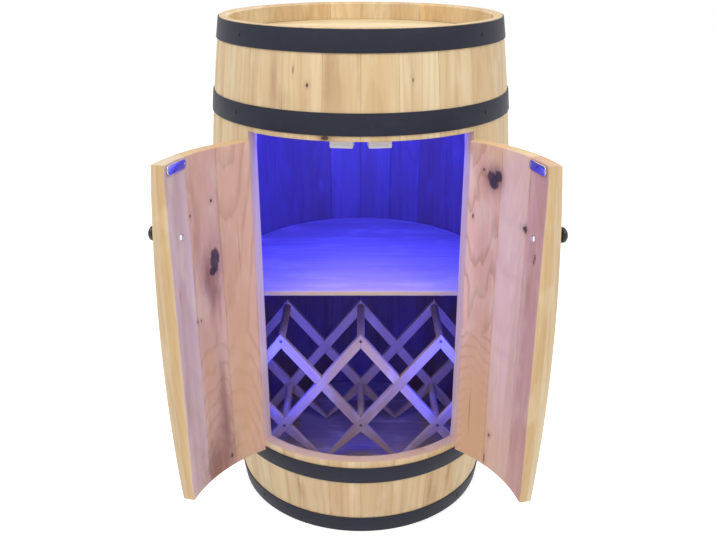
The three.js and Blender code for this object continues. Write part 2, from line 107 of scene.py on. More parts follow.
# Knobs and their screws
KNOB_LEVEL = 0.548
KNOB_SET_IN = 0.034
KNOB_HEAD_RADIUS = 0.011
KNOB_NECK_RADIUS = 0.005
KNOB_FOOT_RADIUS = 0.007
KNOB_HEIGHT = 0.024
KNOB_SCREW_RADIUS = 0.0045
KNOB_SCREW_CROWN = 0.0024

# Catches and strike plates
STRIKE_WIDTH = 0.043
STRIKE_HEIGHT = 0.0125
STRIKE_THICKNESS = 0.0015
STRIKE_EDGE = 0.027
STRIKE_TOP_INSET = 0.002
STRIKE_SCREW_RADIUS = 0.00225
STRIKE_SCREW_PLACE = 0.01849
CATCH_WIDTH = 0.032
CATCH_HEIGHT = 0.014
CATCH_DEPTH = 0.015
CATCH_POLE_THICKNESS = 0.0006
CATCH_POLE_EDGE = 0.0001
CATCH_POLE_STAND = 0.0001
CATCH_BLOCK_DEPTH = 0.02

# Shelf
SHELF_TOP = 0.4
SHELF_THICKNESS = 0.008
SHELF_SET_BACK = 0.0755
SHELF_HALF_FACET = math.pi / 40

# Light strip and its battery box
TAPE_WIDTH = 0.01
TAPE_THICKNESS = 0.002
TAPE_BACKING = 0.0011
TAPE_JAMB_INSET = 0.005
TAPE_HALF_FACET = math.pi / 60
LAMP_SPACING = 0.0165
LAMP_SIZE = 0.005
BATTERY_DEPTH = 0.0125
BATTERY_WIDTH_SHARE = 0.94
BATTERY_CORNER = 0.003
BATTERY_EDGE = 0.0006
LID_CORNER = 0.0028
LID_EDGE = 0.0012
SWITCH_WIDTH = 0.009
SWITCH_HEIGHT = 0.005
SWITCH_STAND = 0.0014
SWITCH_CORNER = 0.0008
SWITCH_EDGE = 0.0003

# Rack of crossed slats
RACK_FLOOR = HEAD_RECESS + HEAD_THICKNESS + PIECE_GAP
RACK_RUN = 0.0665
RACK_RISE = 0.0818
RACK_FOOT_DROP = 0.0079
RACK_FRONT = 0.084
RACK_DEPTH = 0.136
RACK_SIDE_GAP = 0.0188
SLAT_WIDTH = 0.016
SLAT_THICKNESS = 0.01
SLAT_EDGE = 0.0006
ROD_RADIUS = 0.0065
RACK_SCREW_RADIUS = 0.0025
RACK_SCREW_CROWN = 0.0004
RACK_SCREW_RECESS = 0.0009

# The barrel's axis and the doors' hinges, from the frame
hoop_low, hoop_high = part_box("upper_inner_hoop")
AXIS = np.array([(hoop_low.x + hoop_high.x) / 2, (hoop_low.y + hoop_high.y) / 2])
hinge_of = {joint["child"]: joint for joint in frame["joints"]}

# Levels and radii that follow from the sizes
HALF_HEIGHT = BARREL_HEIGHT / 2
COMPARTMENT_RADIUS = BELLY_RADIUS - COMPARTMENT_WALL
CHIME_LEVEL = HEAD_RECESS + HEAD_THICKNESS / 2
HEAD_TOP = BARREL_HEIGHT - HEAD_RECESS
SHOULDER = HALF_HEIGHT * (1 - math.sqrt((COMPARTMENT_WALL - STAVE_END_THICKNESS) / BELLY_BULGE))
SIDES = {"left": -1, "right": 1}


# Shape of the barrel

def outer_radius(level):
    """Belly radius less a bulge that grows with the square of the distance from mid height."""
    return BELLY_RADIUS - BELLY_BULGE * ((level - HALF_HEIGHT) / HALF_HEIGHT) ** 2


def outer_slope(level):
    """Angle between the outer face's normal and the level, from the parabola's derivative."""
    return np.arctan(2 * BELLY_BULGE * (level - HALF_HEIGHT) / HALF_HEIGHT ** 2)


def inner_radius(level):
    """Straight compartment wall, or the stave's end thickness where that lies further in."""
    return np.minimum(COMPARTMENT_RADIUS, outer_radius(level) - STAVE_END_THICKNESS)


CHIME_RADIUS = inner_radius(CHIME_LEVEL)
CROZE_RADIUS = CHIME_RADIUS + CROZE_DEPTH


def round_barrel(radius, angle, level):
    """Points at a radius and an angle about the barrel's axis."""
    radius, angle, level = np.broadcast_arrays(radius, angle, level)
    x = AXIS[0] + radius * np.sin(angle)
    y = AXIS[1] - radius * np.cos(angle)
    return np.stack([x, y, level], -1)


def pin_of(hand):
    """The hinge line's place, which doesn't move with the door."""
    return np.array(hinge_of[f"{hand}_door"]["pos_m"][:2])


def swung(points, hand):
    """Points of a closed door, turned about its pin to where the door stands open at rest.
    Without a hand the points stay."""
    if hand is None:
        return points
    opening = SIDES[hand] * math.radians(-hinge_of[f"{hand}_door"]["range_deg"][0])
    cosine, sine = math.cos(opening), math.sin(opening)
    flat = (points[..., :2] - pin_of(hand)) @ np.array([[cosine, sine], [-sine, cosine]])
    return np.concatenate([pin_of(hand) + flat, points[..., 2:]], -1)


def middle_level(node):
    """Level half way up a node of the frame."""
    low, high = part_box(node)
    return (low.z + high.z) / 2


# Meshes

def grid_quads(rows, columns):
    """Quads between each loop and the next, each loop closed on itself."""
    row, column = np.meshgrid(np.arange(rows - 1), np.arange(columns), indexing="ij")
    here = row * columns + column
    beside = row * columns + (column + 1) % columns
    return np.stack([here, beside, beside + columns, here + columns], -1).reshape(-1, 4)


class Skin:
    """Closed shells gathered into one mesh, with the grain layers of wooden ones."""

    def __init__(self):
        self.points, self.quads, self.caps = [], [], []
        self.layers = {name: [] for name in ("board", "place", "tint", "look")}
        self.side_finish, self.cap_finish = [], []
        self.count = 0

    def loft(self, loops, end_finish=0, **grain):
        """Skins loops that run counterclockwise seen from the far end, and closes both ends."""
        rows, columns = loops.shape[:2]
        quads = grid_quads(rows, columns) + self.count
        first = np.arange(columns) + self.count
        last = first + (rows - 1) * columns
        self.points.append(loops.reshape(-1, 3))
        self.quads.append(quads)
        self.caps += [first[::-1].tolist(), last.tolist()]
        self.side_finish += [0] * len(quads)
        self.cap_finish += [end_finish] * 2
        for name, layer in self.layers.items():
            value = np.broadcast_to(grain.get(name, np.zeros(3)), loops.shape)
            layer.append(value.reshape(-1, 3))
        self.count += rows * columns
        return self

    def piece(self, name, body, slot, finishes, node=None, crease=32):
        """Makes the object, rides it on its body and hides the node it stands for."""
        mesh = bpy.data.meshes.new(name)
        faces = np.concatenate(self.quads).tolist() + self.caps
        mesh.from_pydata(np.concatenate(self.points), [], faces)
        mesh.polygons.foreach_set("material_index", self.side_finish + self.cap_finish)
        for label, parts in self.layers.items():
            layer = mesh.attributes.new(label, "FLOAT_VECTOR", "POINT")
            layer.data.foreach_set("vector", np.concatenate(parts).astype(np.float32).ravel())
        mesh.polygons.foreach_set("use_smooth", [True] * len(faces))
        mesh.set_sharp_from_angle(angle=math.radians(crease))
        for finish in finishes:
            mesh.materials.append(finish)
        mesh.validate()
        made = bpy.data.objects.new(name, mesh)
        bpy.context.scene.collection.objects.link(made)
        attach(made, body)
        if node:
            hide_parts(node)
        return made


def quarter_rim(size, steps=4):
    """Inset and rise of a rounded rim: one less sine and one less cosine over a quarter turn."""
    turn = np.linspace(0, np.pi / 2, steps)
    return size * (1 - np.sin(turn)), size * (1 - np.cos(turn))


def rounded_outline(width, height, corner, inset=0.0, steps=6):
    """Rectangle with quarter circles for corners, counterclockwise, drawn in by an inset."""
    half = np.array([width, height]) / 2 - inset
    radius = max(corner - inset, min(half) / 50)
    turn = np.linspace(0, np.pi / 2, steps)
    arcs = []
    for quarter, signs in enumerate(((1, -1), (1, 1), (-1, 1), (-1, -1))):
        angle = turn + (quarter - 1) * np.pi / 2
        arcs.append((half - radius) * signs + radius * np.stack([np.cos(angle), np.sin(angle)], -1))
    return np.concatenate(arcs)


def slab(width, height, corner, thickness, edge, steps=6):
    """Rounded outline carried up by its thickness, both rims drawn in on a quarter circle."""
    inset, rise = quarter_rim(edge)
    insets = np.concatenate([inset, inset[::-1]])
    levels = np.concatenate([rise, thickness - rise[::-1]])
    outlines = np.stack([rounded_outline(width, height, corner, value, steps) for value in insets])
    heights = np.broadcast_to(levels[:, None, None], (*outlines.shape[:2], 1))
    return np.concatenate([outlines, heights], -1)


def lathe(profile, sides=48):
    """Radius and height pairs carried round the Z axis."""
    radius, height = np.array(profile, float).T
    angle = np.linspace(0, 2 * np.pi, sides, endpoint=False)
    x = radius[:, None] * np.cos(angle)
    y = radius[:, None] * np.sin(angle)
    return np.stack([x, y, np.broadcast_to(height[:, None], x.shape)], -1)


def wall_place(angle, level, radius, slope=0.0):
    """Origin and axes on a wall: along it, up it and out of it, leaning by a slope."""
    tangent = np.array([math.cos(angle), math.sin(angle), 0])
    radial = np.array([math.sin(angle), -math.cos(angle), 0])
    upright = np.array([0, 0, 1.0])
    out = math.cos(slope) * radial + math.sin(slope) * upright
    up = math.cos(slope) * upright - math.sin(slope) * radial
    return round_barrel(radius, angle, level), np.stack([tangent, up, out])


def flipped(place):
    """The same place facing the other way: out becomes in, along is reversed."""
    origin, axes = place
    return origin, axes * np.array([[-1], [1], [-1]])


def put(points, place, hand=None):
    """Local points carried to an origin and its axes, and on with a door if its hand is given."""
    origin, axes = place
    return swung(origin + points @ axes, hand)


def screw_head(radius, crown, recess, sides=48, rings=14):
    """Domed head with a cross recess: the dome is lower wherever the smaller of a point's two
    offsets is under half a bar and the larger one is under the cross's reach."""
    bar, reach = 0.15, 0.62
    share = np.linspace(1, 0.04, rings)[:, None]
    angle = np.linspace(0, 2 * np.pi, sides, endpoint=False)
    x, y = share * np.cos(angle), share * np.sin(angle)
    near, far = np.minimum(abs(x), abs(y)), np.maximum(abs(x), abs(y))
    sunk = np.clip((bar - near) / 0.06, 0, 1) * np.clip((reach - far) / 0.08, 0, 1)
    height = crown * (1 - share ** 2) ** 0.7 - recess * sunk
    top = np.stack([radius * x, radius * y, height], -1)
    foot = top[:1].copy()
    foot[..., 2] = -crown / 4
    return np.concatenate([foot, top])


# Boards bent round the barrel

front_seams = np.array(FRONT_SEAM_SHARES) * FRONT_HALF_ANGLE
back_seams = np.linspace(FRONT_HALF_ANGLE, 2 * np.pi - FRONT_HALF_ANGLE, BACK_STAVES + 1)
chance = np.random.default_rng(7)
PLAIN_TINT = (1.0, 1.0, 1.0)


def next_look(figure=0.15, fleck=0.32):
    """A board's own seed, how strongly its rings show, and how strongly its brown bands do."""
    return np.array([chance.random(), figure, fleck])


def next_tint(spread=0.05):
    """A board's own tone: a little lighter or darker, and a little yellower or pinker."""
    light, warm = chance.uniform(-spread, spread, 2)
    return np.array([1 + light, 1 + light - warm / 4, 1 + light - warm])


def board_section(across=12):
    """Round-cornered rectangle, outer face first: the side from -1 to 1, outer 0 or inner 1,
    the inset from that side and the drop from that face."""
    flat = np.linspace(-1, 1, across)[1:-1]
    inset, drop = quarter_rim(BOARD_CORNER)
    level, corner = np.zeros_like(flat), np.ones_like(inset)
    side = np.concatenate([-corner, flat, corner, corner, flat[::-1], -corner])
    inner = np.repeat([0.0, 1.0], len(side) // 2)
    insets = np.tile(np.concatenate([inset[::-1], level, inset]), 2)
    drops = np.tile(np.concatenate([drop[::-1], level, drop]), 2)
    return side, inner, insets, drops


def bent_board(skin, start, end, rows, look, tint, insets=(0, 0), hand=None):
    """A board between two seams. Each row is a level with an outer and an inner radius."""
    level, outer, inner = (np.array(column)[:, None] for column in zip(*rows))
    side, face, inset, drop = board_section()
    middle, half = (start + end) / 2, (end - start) / 2
    radius = outer - drop + face * (inner - outer + 2 * drop)
    edge = np.where(side < 0, insets[0], insets[1]) * (abs(side) == 1)
    angle = middle + side * half - np.sign(side) * (inset + edge) / radius
    points = round_barrel(radius, angle, level)
    along = np.broadcast_to(level, radius.shape)
    board = np.stack([(angle - middle) * BELLY_RADIUS, outer - radius, along], -1)
    place = np.stack([angle * BELLY_RADIUS, (outer - radius) / (outer - inner), along], -1)
    skin.loft(swung(points, hand), end_finish=1, board=board, place=place, tint=tint, look=look)


def wall_rows(levels):
    """Rows of the plain wall: each level with its outer and inner radius."""
    return [(level, outer_radius(level), inner_radius(level)) for level in levels]


def rounded_low(rows, up=1):
    """Draws the first row in over a quarter circle. Up is -1 where the rows run down."""
    level, outer, inner = rows[0]
    rim = zip(*quarter_rim(BOARD_CORNER))
    return [(level + up * rise, outer - inset, inner + inset) for inset, rise in rim] + rows[1:]


def rounded_high(rows):
    """Draws the last row in."""
    return rounded_low(rows[::-1], -1)[::-1]


def chime_rows():
    """Lower end of a stave: chamfered chime, croze groove and its slope back to the wall."""
    half = HEAD_RIM / 2 + PIECE_GAP
    lip = half + CROZE_DEPTH
    levels = (0, CHIME_CHAMFER, CHIME_LEVEL - lip, CHIME_LEVEL - half, CHIME_LEVEL + half)
    inner = (CHIME_RADIUS + CHIME_CHAMFER, CHIME_RADIUS, CHIME_RADIUS, CROZE_RADIUS, CROZE_RADIUS)
    rows = [(level, outer_radius(level), radius) for level, radius in zip(levels, inner)]
    return rounded_low(rows + wall_rows([CHIME_LEVEL + lip]))


def upside_down(rows):
    """The same rows counted from the top."""
    return [(BARREL_HEIGHT - level, outer, inner) for level, outer, inner in rows][::-1]


# Shader expressions

def feed(tree, socket, term):
    """Links a value to a socket, or sets the socket to a number or colour."""
    if isinstance(term, Value):
        tree.links.new(term.socket, socket)
    else:
        socket.default_value = term


def calc(tree, operation, *terms):
    """One Math node on numbers and values."""
    node = tree.nodes.new("ShaderNodeMath")
    node.operation = operation
    for socket, term in zip(node.inputs, terms):
        feed(tree, socket, term)
    return Value(tree, node.outputs[0])


class Value:
    """A shader value. Arithmetic on it adds Math nodes to its material."""

    def __init__(self, tree, socket):
        self.tree, self.socket = tree, socket

    def __add__(self, other):
        return calc(self.tree, "ADD", self, other)

    def __sub__(self, other):
        return calc(self.tree, "SUBTRACT", self, other)

    def __rsub__(self, other):
        return calc(self.tree, "SUBTRACT", other, self)

    def __mul__(self, other):
        return calc(self.tree, "MULTIPLY", self, other)

    def __truediv__(self, other):
        return calc(self.tree, "DIVIDE", self, other)

    def __rtruediv__(self, other):
        return calc(self.tree, "DIVIDE", other, self)

    __radd__ = __add__
    __rmul__ = __mul__

    def least(self, other):
        return calc(self.tree, "MINIMUM", self, other)

    def most(self, other):
        return calc(self.tree, "MAXIMUM", self, other)

    def root(self):
        return calc(self.tree, "SQRT", self)

    def bell(self):
        """Exponential of minus the value."""
        return calc(self.tree, "POWER", math.e, self * -1)

    def part(self):
        """What is left past the last whole number."""
        return calc(self.tree, "FRACT", self)

    def step(self, low, high):
        """Smooth step from 0 at low to 1 at high, which may lie below low."""
        node = self.tree.nodes.new("ShaderNodeMapRange")
        node.interpolation_type = "SMOOTHSTEP"
        feed(self.tree, node.inputs["Value"], self)
        node.inputs["From Min"].default_value = min(low, high)
        node.inputs["From Max"].default_value = max(low, high)
        node.inputs["To Min"].default_value = float(low > high)
        node.inputs["To Max"].default_value = float(low <= high)
        return Value(self.tree, node.outputs["Result"])


class Finish:
    """One material, built round its Principled shader."""

    def __init__(self, name, **constants):
        self.material = bpy.data.materials.new(name)
        self.material.use_nodes = True
        self.tree = self.material.node_tree
        self.shader = self.tree.nodes["Principled BSDF"]
        for socket, value in constants.items():
            self.shader.inputs[socket.replace("_", " ")].default_value = value

    def node(self, kind, settings, inputs, output=0):
        """Makes a node, sets it, feeds its sockets and gives one output as a value."""
        made = self.tree.nodes.new(kind)
        for key, value in settings.items():
            setattr(made, key, value)
        for key, value in inputs.items():
            feed(self.tree, made.inputs[key], value)
        return Value(self.tree, made.outputs[output])

    def stored(self, name):
        """A vector or colour stored on the mesh."""
        return self.node("ShaderNodeAttribute", {"attribute_name": name}, {}, "Vector")

    def split(self, vector):
        """The three parts of a vector."""
        made = self.tree.nodes.new("ShaderNodeSeparateXYZ")
        feed(self.tree, made.inputs[0], vector)
        return [Value(self.tree, socket) for socket in made.outputs]

    def noise(self, x, y, z, detail=2.0, roughness=0.5):
        """Soft noise from 0 to 1 at a place."""
        place = self.node("ShaderNodeCombineXYZ", {}, {"X": x, "Y": y, "Z": z})
        inputs = {"Vector": place, "Scale": 1.0, "Detail": detail, "Roughness": roughness}
        return self.node("ShaderNodeTexNoise", {}, inputs)

    def clouds(self, scale, detail=2.0, upright=None):
        """Noise all through the piece, with a scale of its own along the upright if given."""
        x, y, z = self.split(self.node("ShaderNodeTexCoord", {}, {}, "Object"))
        return self.noise(x * scale, y * scale, z * (upright or scale), detail)

    def mix(self, share, first, second, blend="MIX"):
        """Colour between two colours, or their blend, by a share."""
        settings = {"data_type": "RGBA", "blend_type": blend, "clamp_factor": True}
        return self.node("ShaderNodeMix", settings, {0: share, 6: first, 7: second}, 2)

    def tinted(self, colour, tint, share=1.0):
        """Colour multiplied by a tint."""
        return self.mix(share, colour, tint, "MULTIPLY")

    def mottled(self, patches, share, colour, factor):
        """Colour that is darker by a factor in patches, as far as a share."""
        return self.mix(patches * share, colour, shaded(colour, factor))

    def bump(self, height, strength, distance):
        """Normal from a height given in metres times a share."""
        inputs = {"Height": height, "Strength": strength, "Distance": distance}
        return self.node("ShaderNodeBump", {}, inputs)

    def surface(self, **links):
        """Feeds the shader's own sockets and gives the material."""
        for socket, value in links.items():
            feed(self.tree, self.shader.inputs[socket.replace("_", " ")], value)
        return self.material


def rgb(red, green, blue):
    """Opaque colour."""
    return (red, green, blue, 1.0)


def shaded(colour, factor):
    """The same colour, lighter or darker by a factor."""
    return rgb(*(part * factor for part in colour[:3]))


# Wood

RING_SPACING = 0.0085
PITH_BEHIND = 0.012
PITH_SPREAD = 0.08
PITH_TILT = 0.16
RING_WANDER = 0.006
FIBRE_BROWN = rgb(0.36, 0.19, 0.085)
FIBRE_PALE = rgb(0.86, 0.74, 0.52)
SAPWOOD = rgb(1.05, 1.10, 1.20)
HEARTWOOD = rgb(0.98, 0.93, 0.83)
STREAK_BROWN = rgb(0.36, 0.18, 0.08)
HEART_BROWN = rgb(0.27, 0.125, 0.085)
TAN_PINK = rgb(0.66, 0.39, 0.172)
KNOT_CORE = rgb(0.022, 0.010, 0.012)
KNOT_GREY = rgb(0.11, 0.055, 0.045)
KNOT_HALO = rgb(0.27, 0.12, 0.075)


def knot_marks(arc, level, knots, ragged):
    """Dark core, brown halo and how far the grain bows aside: for each knot, functions of the
    squared distance from its middle in knot sizes."""
    core, halo, bow = 0.0, 0.0, 0.0
    for place, height, half_width, half_height in knots:
        across = (arc - place) / half_width + ragged * 0.9
        along = (level - height) / half_height + ragged * 0.9
        square = across * across + along * along
        core = square.step(1.3, 0.5) + core
        halo = (square * 0.22).bell() + halo
        bow = (square * 0.10).bell() * across * (-0.55 * half_width) + bow
    return core, halo, bow


def on_inner_face(inner, level):
    """1 on a board's inner face, below the upper side of the top head."""
    return inner.step(0.955, 0.985) * level.step(HEAD_TOP + 0.001, HEAD_TOP - 0.001)


def pith_shift(seed):
    """How far aside a board's pith lies: the fraction of a multiple of its seed, less a half."""
    return ((seed * 17.3).part() - 0.5) * PITH_SPREAD


def wood(name, pale, deep, knots=(), stains=(), inner_face=None, inside=None, figure_top=None):
    """Planed wood. Soft bands run along the board, over rings about a pith behind it that the
    board's seed sets off and tilts, with fine fibres, stains, knots and its own tint. Below the
    figure's top the board leans across the rings, so that they show as arches. A door's inner
    face has two pinker colours and bluer tints, in part a painted cast of the blue lamps, and its
    edges show sapwood and heartwood. The barrel's inner face is darkened at the last, a painted
    shade tinted a little blue."""
    finish = Finish(name)
    across, depth, along = finish.split(finish.stored("board"))
    arc, inner, level = finish.split(finish.stored("place"))
    seed, figure, fleck = finish.split(finish.stored("look"))
    tint = finish.stored("tint")
    offset = seed * 61.0
    ragged = finish.noise(arc * 150, depth * 60, level * 60) - 0.5
    drift = finish.noise(across * 7 + offset, depth * 7, along * 1.3 + offset) - 0.5
    core, halo, bow = knot_marks(arc, level, knots, ragged)
    side = across + drift * 0.03 + bow

    def grain(width, length, detail=2.0):
        """Noise drawn out along the board."""
        return finish.noise(side * width + offset, depth * width, along * length + offset, detail)

    pith_side = side + pith_shift(seed) * (1.0 - figure)
    tilt = ((seed * 91.3).part() - 0.5) * PITH_TILT
    pith_depth = depth + PITH_BEHIND + (seed * 57.7).part() * 0.04 + (along - 0.3) * tilt
    wander = RING_WANDER
    if figure_top:
        steep = figure * figure
        pith_depth = pith_depth + steep * (0.4 + (along - figure_top).least(0.0) * 2.0)
        wander = steep * 0.085 + RING_WANDER
    distance = (pith_side * pith_side + pith_depth * pith_depth).root()
    rings = ((distance + (grain(30, 6) - 0.5) * wander) / RING_SPACING).part()
    late = rings.step(0.5, 0.92) * rings.step(1.0, 0.92)
    fibre = finish.noise(side * 430 + offset, depth * 430, along * 11, 3.0, 0.65)
    band = grain(75, 2.4, 2.5)
    broad = grain(26, 1.3).step(0.34, 0.66)

    colour = finish.mix(broad, pale, deep)
    if inner_face:
        edges = [finish.tinted(colour, tone) for tone in (SAPWOOD, HEARTWOOD)]
        edge = finish.mix(inner.step(0.38, 0.46), *edges)
        face = finish.tinted(finish.mix(broad, *inner_face), tint)
        colour = finish.mix(on_inner_face(inner, level), edge, face)
    else:
        colour = finish.tinted(colour, tint)
    colour = finish.mix(band.step(0.5, 0.8) * fleck, colour, FIBRE_BROWN)
    colour = finish.mix(late * figure, colour, FIBRE_BROWN)
    colour = finish.mix(grain(34, 15).step(0.5, 0.72) * 0.3, colour, FIBRE_PALE)
    colour = finish.mix(fibre.step(0.5, 0.8) * 0.20, colour, FIBRE_BROWN)
    colour = finish.mix(fibre.step(0.46, 0.2) * 0.22, colour, FIBRE_PALE)
    for stain, rows in stains:
        for place, height, half_width, half_height, strength in rows:
            beside = (arc - place) / half_width + ragged * 1.1 + drift * 0.8
            above = (level - height) / half_height + ragged * 0.4 + drift * 0.8
            mark = (beside * beside + above * above).bell() * strength
            colour = finish.mix(mark * (0.6 + band * 0.8), colour, stain)
    if knots:
        dark = finish.mix(fibre.step(0.45, 0.75), KNOT_CORE, KNOT_GREY)
        colour = finish.mix(halo * 0.45, colour, KNOT_HALO)
        colour = finish.mix(core * 0.95, colour, dark)
    # Painted shade on the barrel's inner faces, a little blue from the lamps inside
    if inside:
        colour = finish.tinted(colour, inside, on_inner_face(inner, level))
    normal = finish.bump(fibre * 0.6 + late * 0.4, 0.25, 0.0003)
    return finish.surface(Base_Color=colour, Roughness=0.5 + fibre * 0.12, Normal=normal)


def end_grain(name, early, late_colour):
    """Sawn ends: curved growth rings seen end on, with open pores and each board's tint."""
    finish = Finish(name)
    across, depth, _ = finish.split(finish.stored("board"))
    seed = finish.split(finish.stored("look"))[0]
    side = across + pith_shift(seed)
    back = depth + 0.02
    wave = finish.noise(across * 70, depth * 70, seed * 30) - 0.5
    distance = (side * side + back * back).root() + wave * 0.002
    rings = (distance / (RING_SPACING * 0.5)).part()
    late = rings.step(0.3, 0.9) * rings.step(1.0, 0.93)
    pore = finish.noise(across * 900, depth * 900, seed * 30)
    colour = finish.mix(late * 0.35, early, late_colour)
    colour = finish.tinted(colour, finish.stored("tint"))
    colour = finish.mix(pore.step(0.55, 0.8) * 0.4, colour, FIBRE_BROWN)
    normal = finish.bump(pore, 0.25, 0.0004)
    return finish.surface(Base_Color=colour, Roughness=0.72 + pore * 0.1, Normal=normal)


# Marks on the wood, in millimetres: distance round the barrel at belly radius, level, half
# width and half height, and a stain's strength

def millimetres(*rows):
    """Rows of marks in metres. The strength stays."""
    return [(*(length / 1000 for length in row[:4]), *row[4:]) for row in rows]


FRONT_KNOTS = millimetres(
    (-101.1, 745.5, 0.8, 4.8),
    (-78.1, 727.5, 2.0, 2.8),
    (-50.6, 660.0, 5.0, 3.0),
    (76.0, 734.0, 0.8, 2.2),
)
FRONT_STREAKS = millimetres(
    (-132.5, 725.0, 7.0, 40.0, 0.50),
    (-115.0, 705.0, 15.0, 15.0, 0.28),
    (-80.0, 705.0, 6.0, 18.0, 0.30),
    (-45.5, 730.0, 9.0, 60.0, 0.50),
    (-30.0, 715.0, 10.0, 45.0, 0.32),
    (-50.0, 664.0, 15.0, 10.0, 0.60),
    (75.0, 720.0, 2.5, 50.0, 0.28),
    (-113.0, 83.0, 2.2, 23.0, 0.80),
    (-108.0, 70.0, 6.0, 15.0, 0.30),
    (130.0, 70.0, 4.0, 30.0, 0.60),
    (140.0, 50.0, 10.0, 20.0, 0.25),
    (170.0, 90.0, 4.0, 40.0, 0.60),
)
DOOR_KNOTS = millimetres(
    (-103.7, 496.5, 9.8, 16.8),
    (-97.0, 480.0, 6.2, 6.0),
    (-104.4, 580.5, 1.9, 2.4),
    (-58.4, 570.5, 1.5, 2.2),
    (-56.0, 417.5, 1.2, 2.6),
    (-64.0, 416.5, 1.2, 2.0),
    (-110.0, 171.5, 2.4, 3.2),
    (139.0, 608.5, 7.5, 7.5),
    (124.5, 611.0, 7.0, 7.5),
    (133.0, 601.0, 9.2, 9.5),
    (153.3, 615.4, 1.6, 1.8),
    (58.1, 554.0, 6.0, 3.0),
    (56.0, 553.0, 2.5, 5.0),
    (24.0, 524.5, 2.0, 4.0),
    (26.8, 517.8, 1.5, 2.5),
    (168.9, 545.6, 1.4, 3.4),
    (107.6, 210.5, 2.0, 2.4),
    (115.1, 166.3, 1.2, 7.0),
)
DOOR_STREAKS = millimetres(
    (-101.5, 305.0, 6.0, 50.0, 0.40),
    (-106.0, 430.0, 3.5, 40.0, 0.45),
    (-16.5, 473.2, 2.2, 8.0, 0.50),
    (-10.4, 302.7, 4.0, 28.0, 0.40),
    (-151.7, 496.8, 1.0, 35.0, 0.60),
    (154.2, 233.0, 1.0, 34.0, 0.95),
    (37.8, 467.2, 6.0, 28.0, 0.50),
    (30.0, 530.0, 3.0, 30.0, 0.35),
    (54.1, 613.8, 2.0, 16.0, 0.45),
    (48.0, 230.0, 2.0, 26.0, 0.50),
    (80.7, 478.6, 24.0, 6.0, 0.12),
    (90.0, 357.2, 26.0, 6.0, 0.14),
)
DOOR_HEARTWOOD = millimetres(
    (-85.0, 480.0, 11.0, 30.0, 0.85),
    (-96.0, 452.0, 13.0, 26.0, 0.75),
    (-85.0, 166.0, 36.0, 52.0, 1.00),
    (-65.0, 155.0, 20.0, 50.0, 0.70),
    (-104.0, 220.0, 13.0, 60.0, 0.85),
    (-101.0, 280.0, 7.0, 55.0, 0.55),
)
DOOR_TAN = millimetres(
    (-145.0, 240.0, 30.0, 300.0, 0.75),
    (-75.0, 340.0, 18.0, 90.0, 0.55),
    (-75.0, 600.0, 20.0, 60.0, 0.45),
    (145.0, 220.0, 35.0, 170.0, 1.00),
    (145.0, 200.0, 35.0, 120.0, 0.60),
    (130.0, 640.0, 20.0, 30.0, 0.55),
    (80.0, 170.0, 40.0, 70.0, 0.30),
)

STRAW, TAN = rgb(0.77, 0.60, 0.37), rgb(0.66, 0.47, 0.26)
# Pinker colours of the doors' inner faces, in part a painted cast of the blue lamps inside
ROSE, CLAY = rgb(0.70, 0.47, 0.36), rgb(0.60, 0.38, 0.28)

# Painted shade on the barrel's inner faces, tinted a little blue as painted light of the lamps inside
INSIDE_PAINTED_SHADE = rgb(0.28, 0.23, 0.33)
stave_wood = wood("stave_wood", STRAW, TAN, inside=INSIDE_PAINTED_SHADE)
front_stains = [(STREAK_BROWN, FRONT_STREAKS)]
front_wood = wood("front_wood", STRAW, TAN, FRONT_KNOTS, front_stains, inside=INSIDE_PAINTED_SHADE)
door_stains = [(TAN_PINK, DOOR_TAN), (HEART_BROWN, DOOR_HEARTWOOD), (STREAK_BROWN, DOOR_STREAKS)]
door_wood = wood("door_wood", STRAW, TAN, DOOR_KNOTS, door_stains, (ROSE, CLAY), figure_top=0.37)
head_wood = wood("head_wood", rgb(0.78, 0.62, 0.345), rgb(0.68, 0.50, 0.25))
# The bottom head, floor of the lower compartment, is darker than the top head: painted shade
floor_wood = wood("floor_wood", rgb(0.33, 0.25, 0.19), rgb(0.27, 0.20, 0.15))
board_wood = wood("board_wood", rgb(0.60, 0.47, 0.32), rgb(0.52, 0.39, 0.25))
# Reddish brown rack wood, darkened further as painted shade inside the compartment
rack_wood = wood("rack_wood", rgb(0.56, 0.40, 0.15), rgb(0.46, 0.31, 0.11))
sawn_ends = end_grain("sawn_ends", rgb(0.68, 0.50, 0.30), rgb(0.50, 0.31, 0.16))


# Metal, plastic and light

def painted_steel(name, colour, rough, metallic, scale=70.0, wear=0.15, gloss=0.5):
    """Rolled steel under dark paint: clouds in the gloss, fine dents and rubbed patches."""
    finish = Finish(name, Metallic=metallic, Specular_IOR_Level=gloss)
    cloud = finish.clouds(scale, 4.0)
    dents = finish.clouds(scale * 14)
    rubbed = rgb(*(part * 1.9 + 0.012 for part in colour[:3]))
    shown = finish.mix(cloud.step(0.5, 0.75) * wear * 2, colour, rubbed)
    normal = finish.bump(cloud * 0.6 + dents * 0.4, 0.2, 0.0003)
    return finish.surface(Base_Color=shown, Roughness=rough + (cloud - 0.5) * 0.2, Normal=normal)


def plated_steel(name, colour, rough):
    """Bright plated steel with faint brushing and handling marks."""
    finish = Finish(name, Metallic=1.0)
    smudge = finish.clouds(90)
    shown = finish.mottled(smudge.step(0.5, 0.8), 0.4, colour, 0.8)
    normal = finish.bump(finish.clouds(400, upright=3000), 0.12, 0.0001)
    return finish.surface(Base_Color=shown, Roughness=rough + smudge * 0.12, Normal=normal)


def moulded_plastic(name, colour):
    """Moulded plastic: a fine spark-eroded texture and a slight unevenness of gloss."""
    finish = Finish(name)
    cloud = finish.clouds(60)
    shown = finish.mottled(cloud.step(0.4, 0.8), 0.3, colour, 0.9)
    normal = finish.bump(finish.clouds(1800, 1.0), 0.15, 0.0001)
    return finish.surface(Base_Color=shown, Roughness=0.4 + cloud * 0.1, Normal=normal)


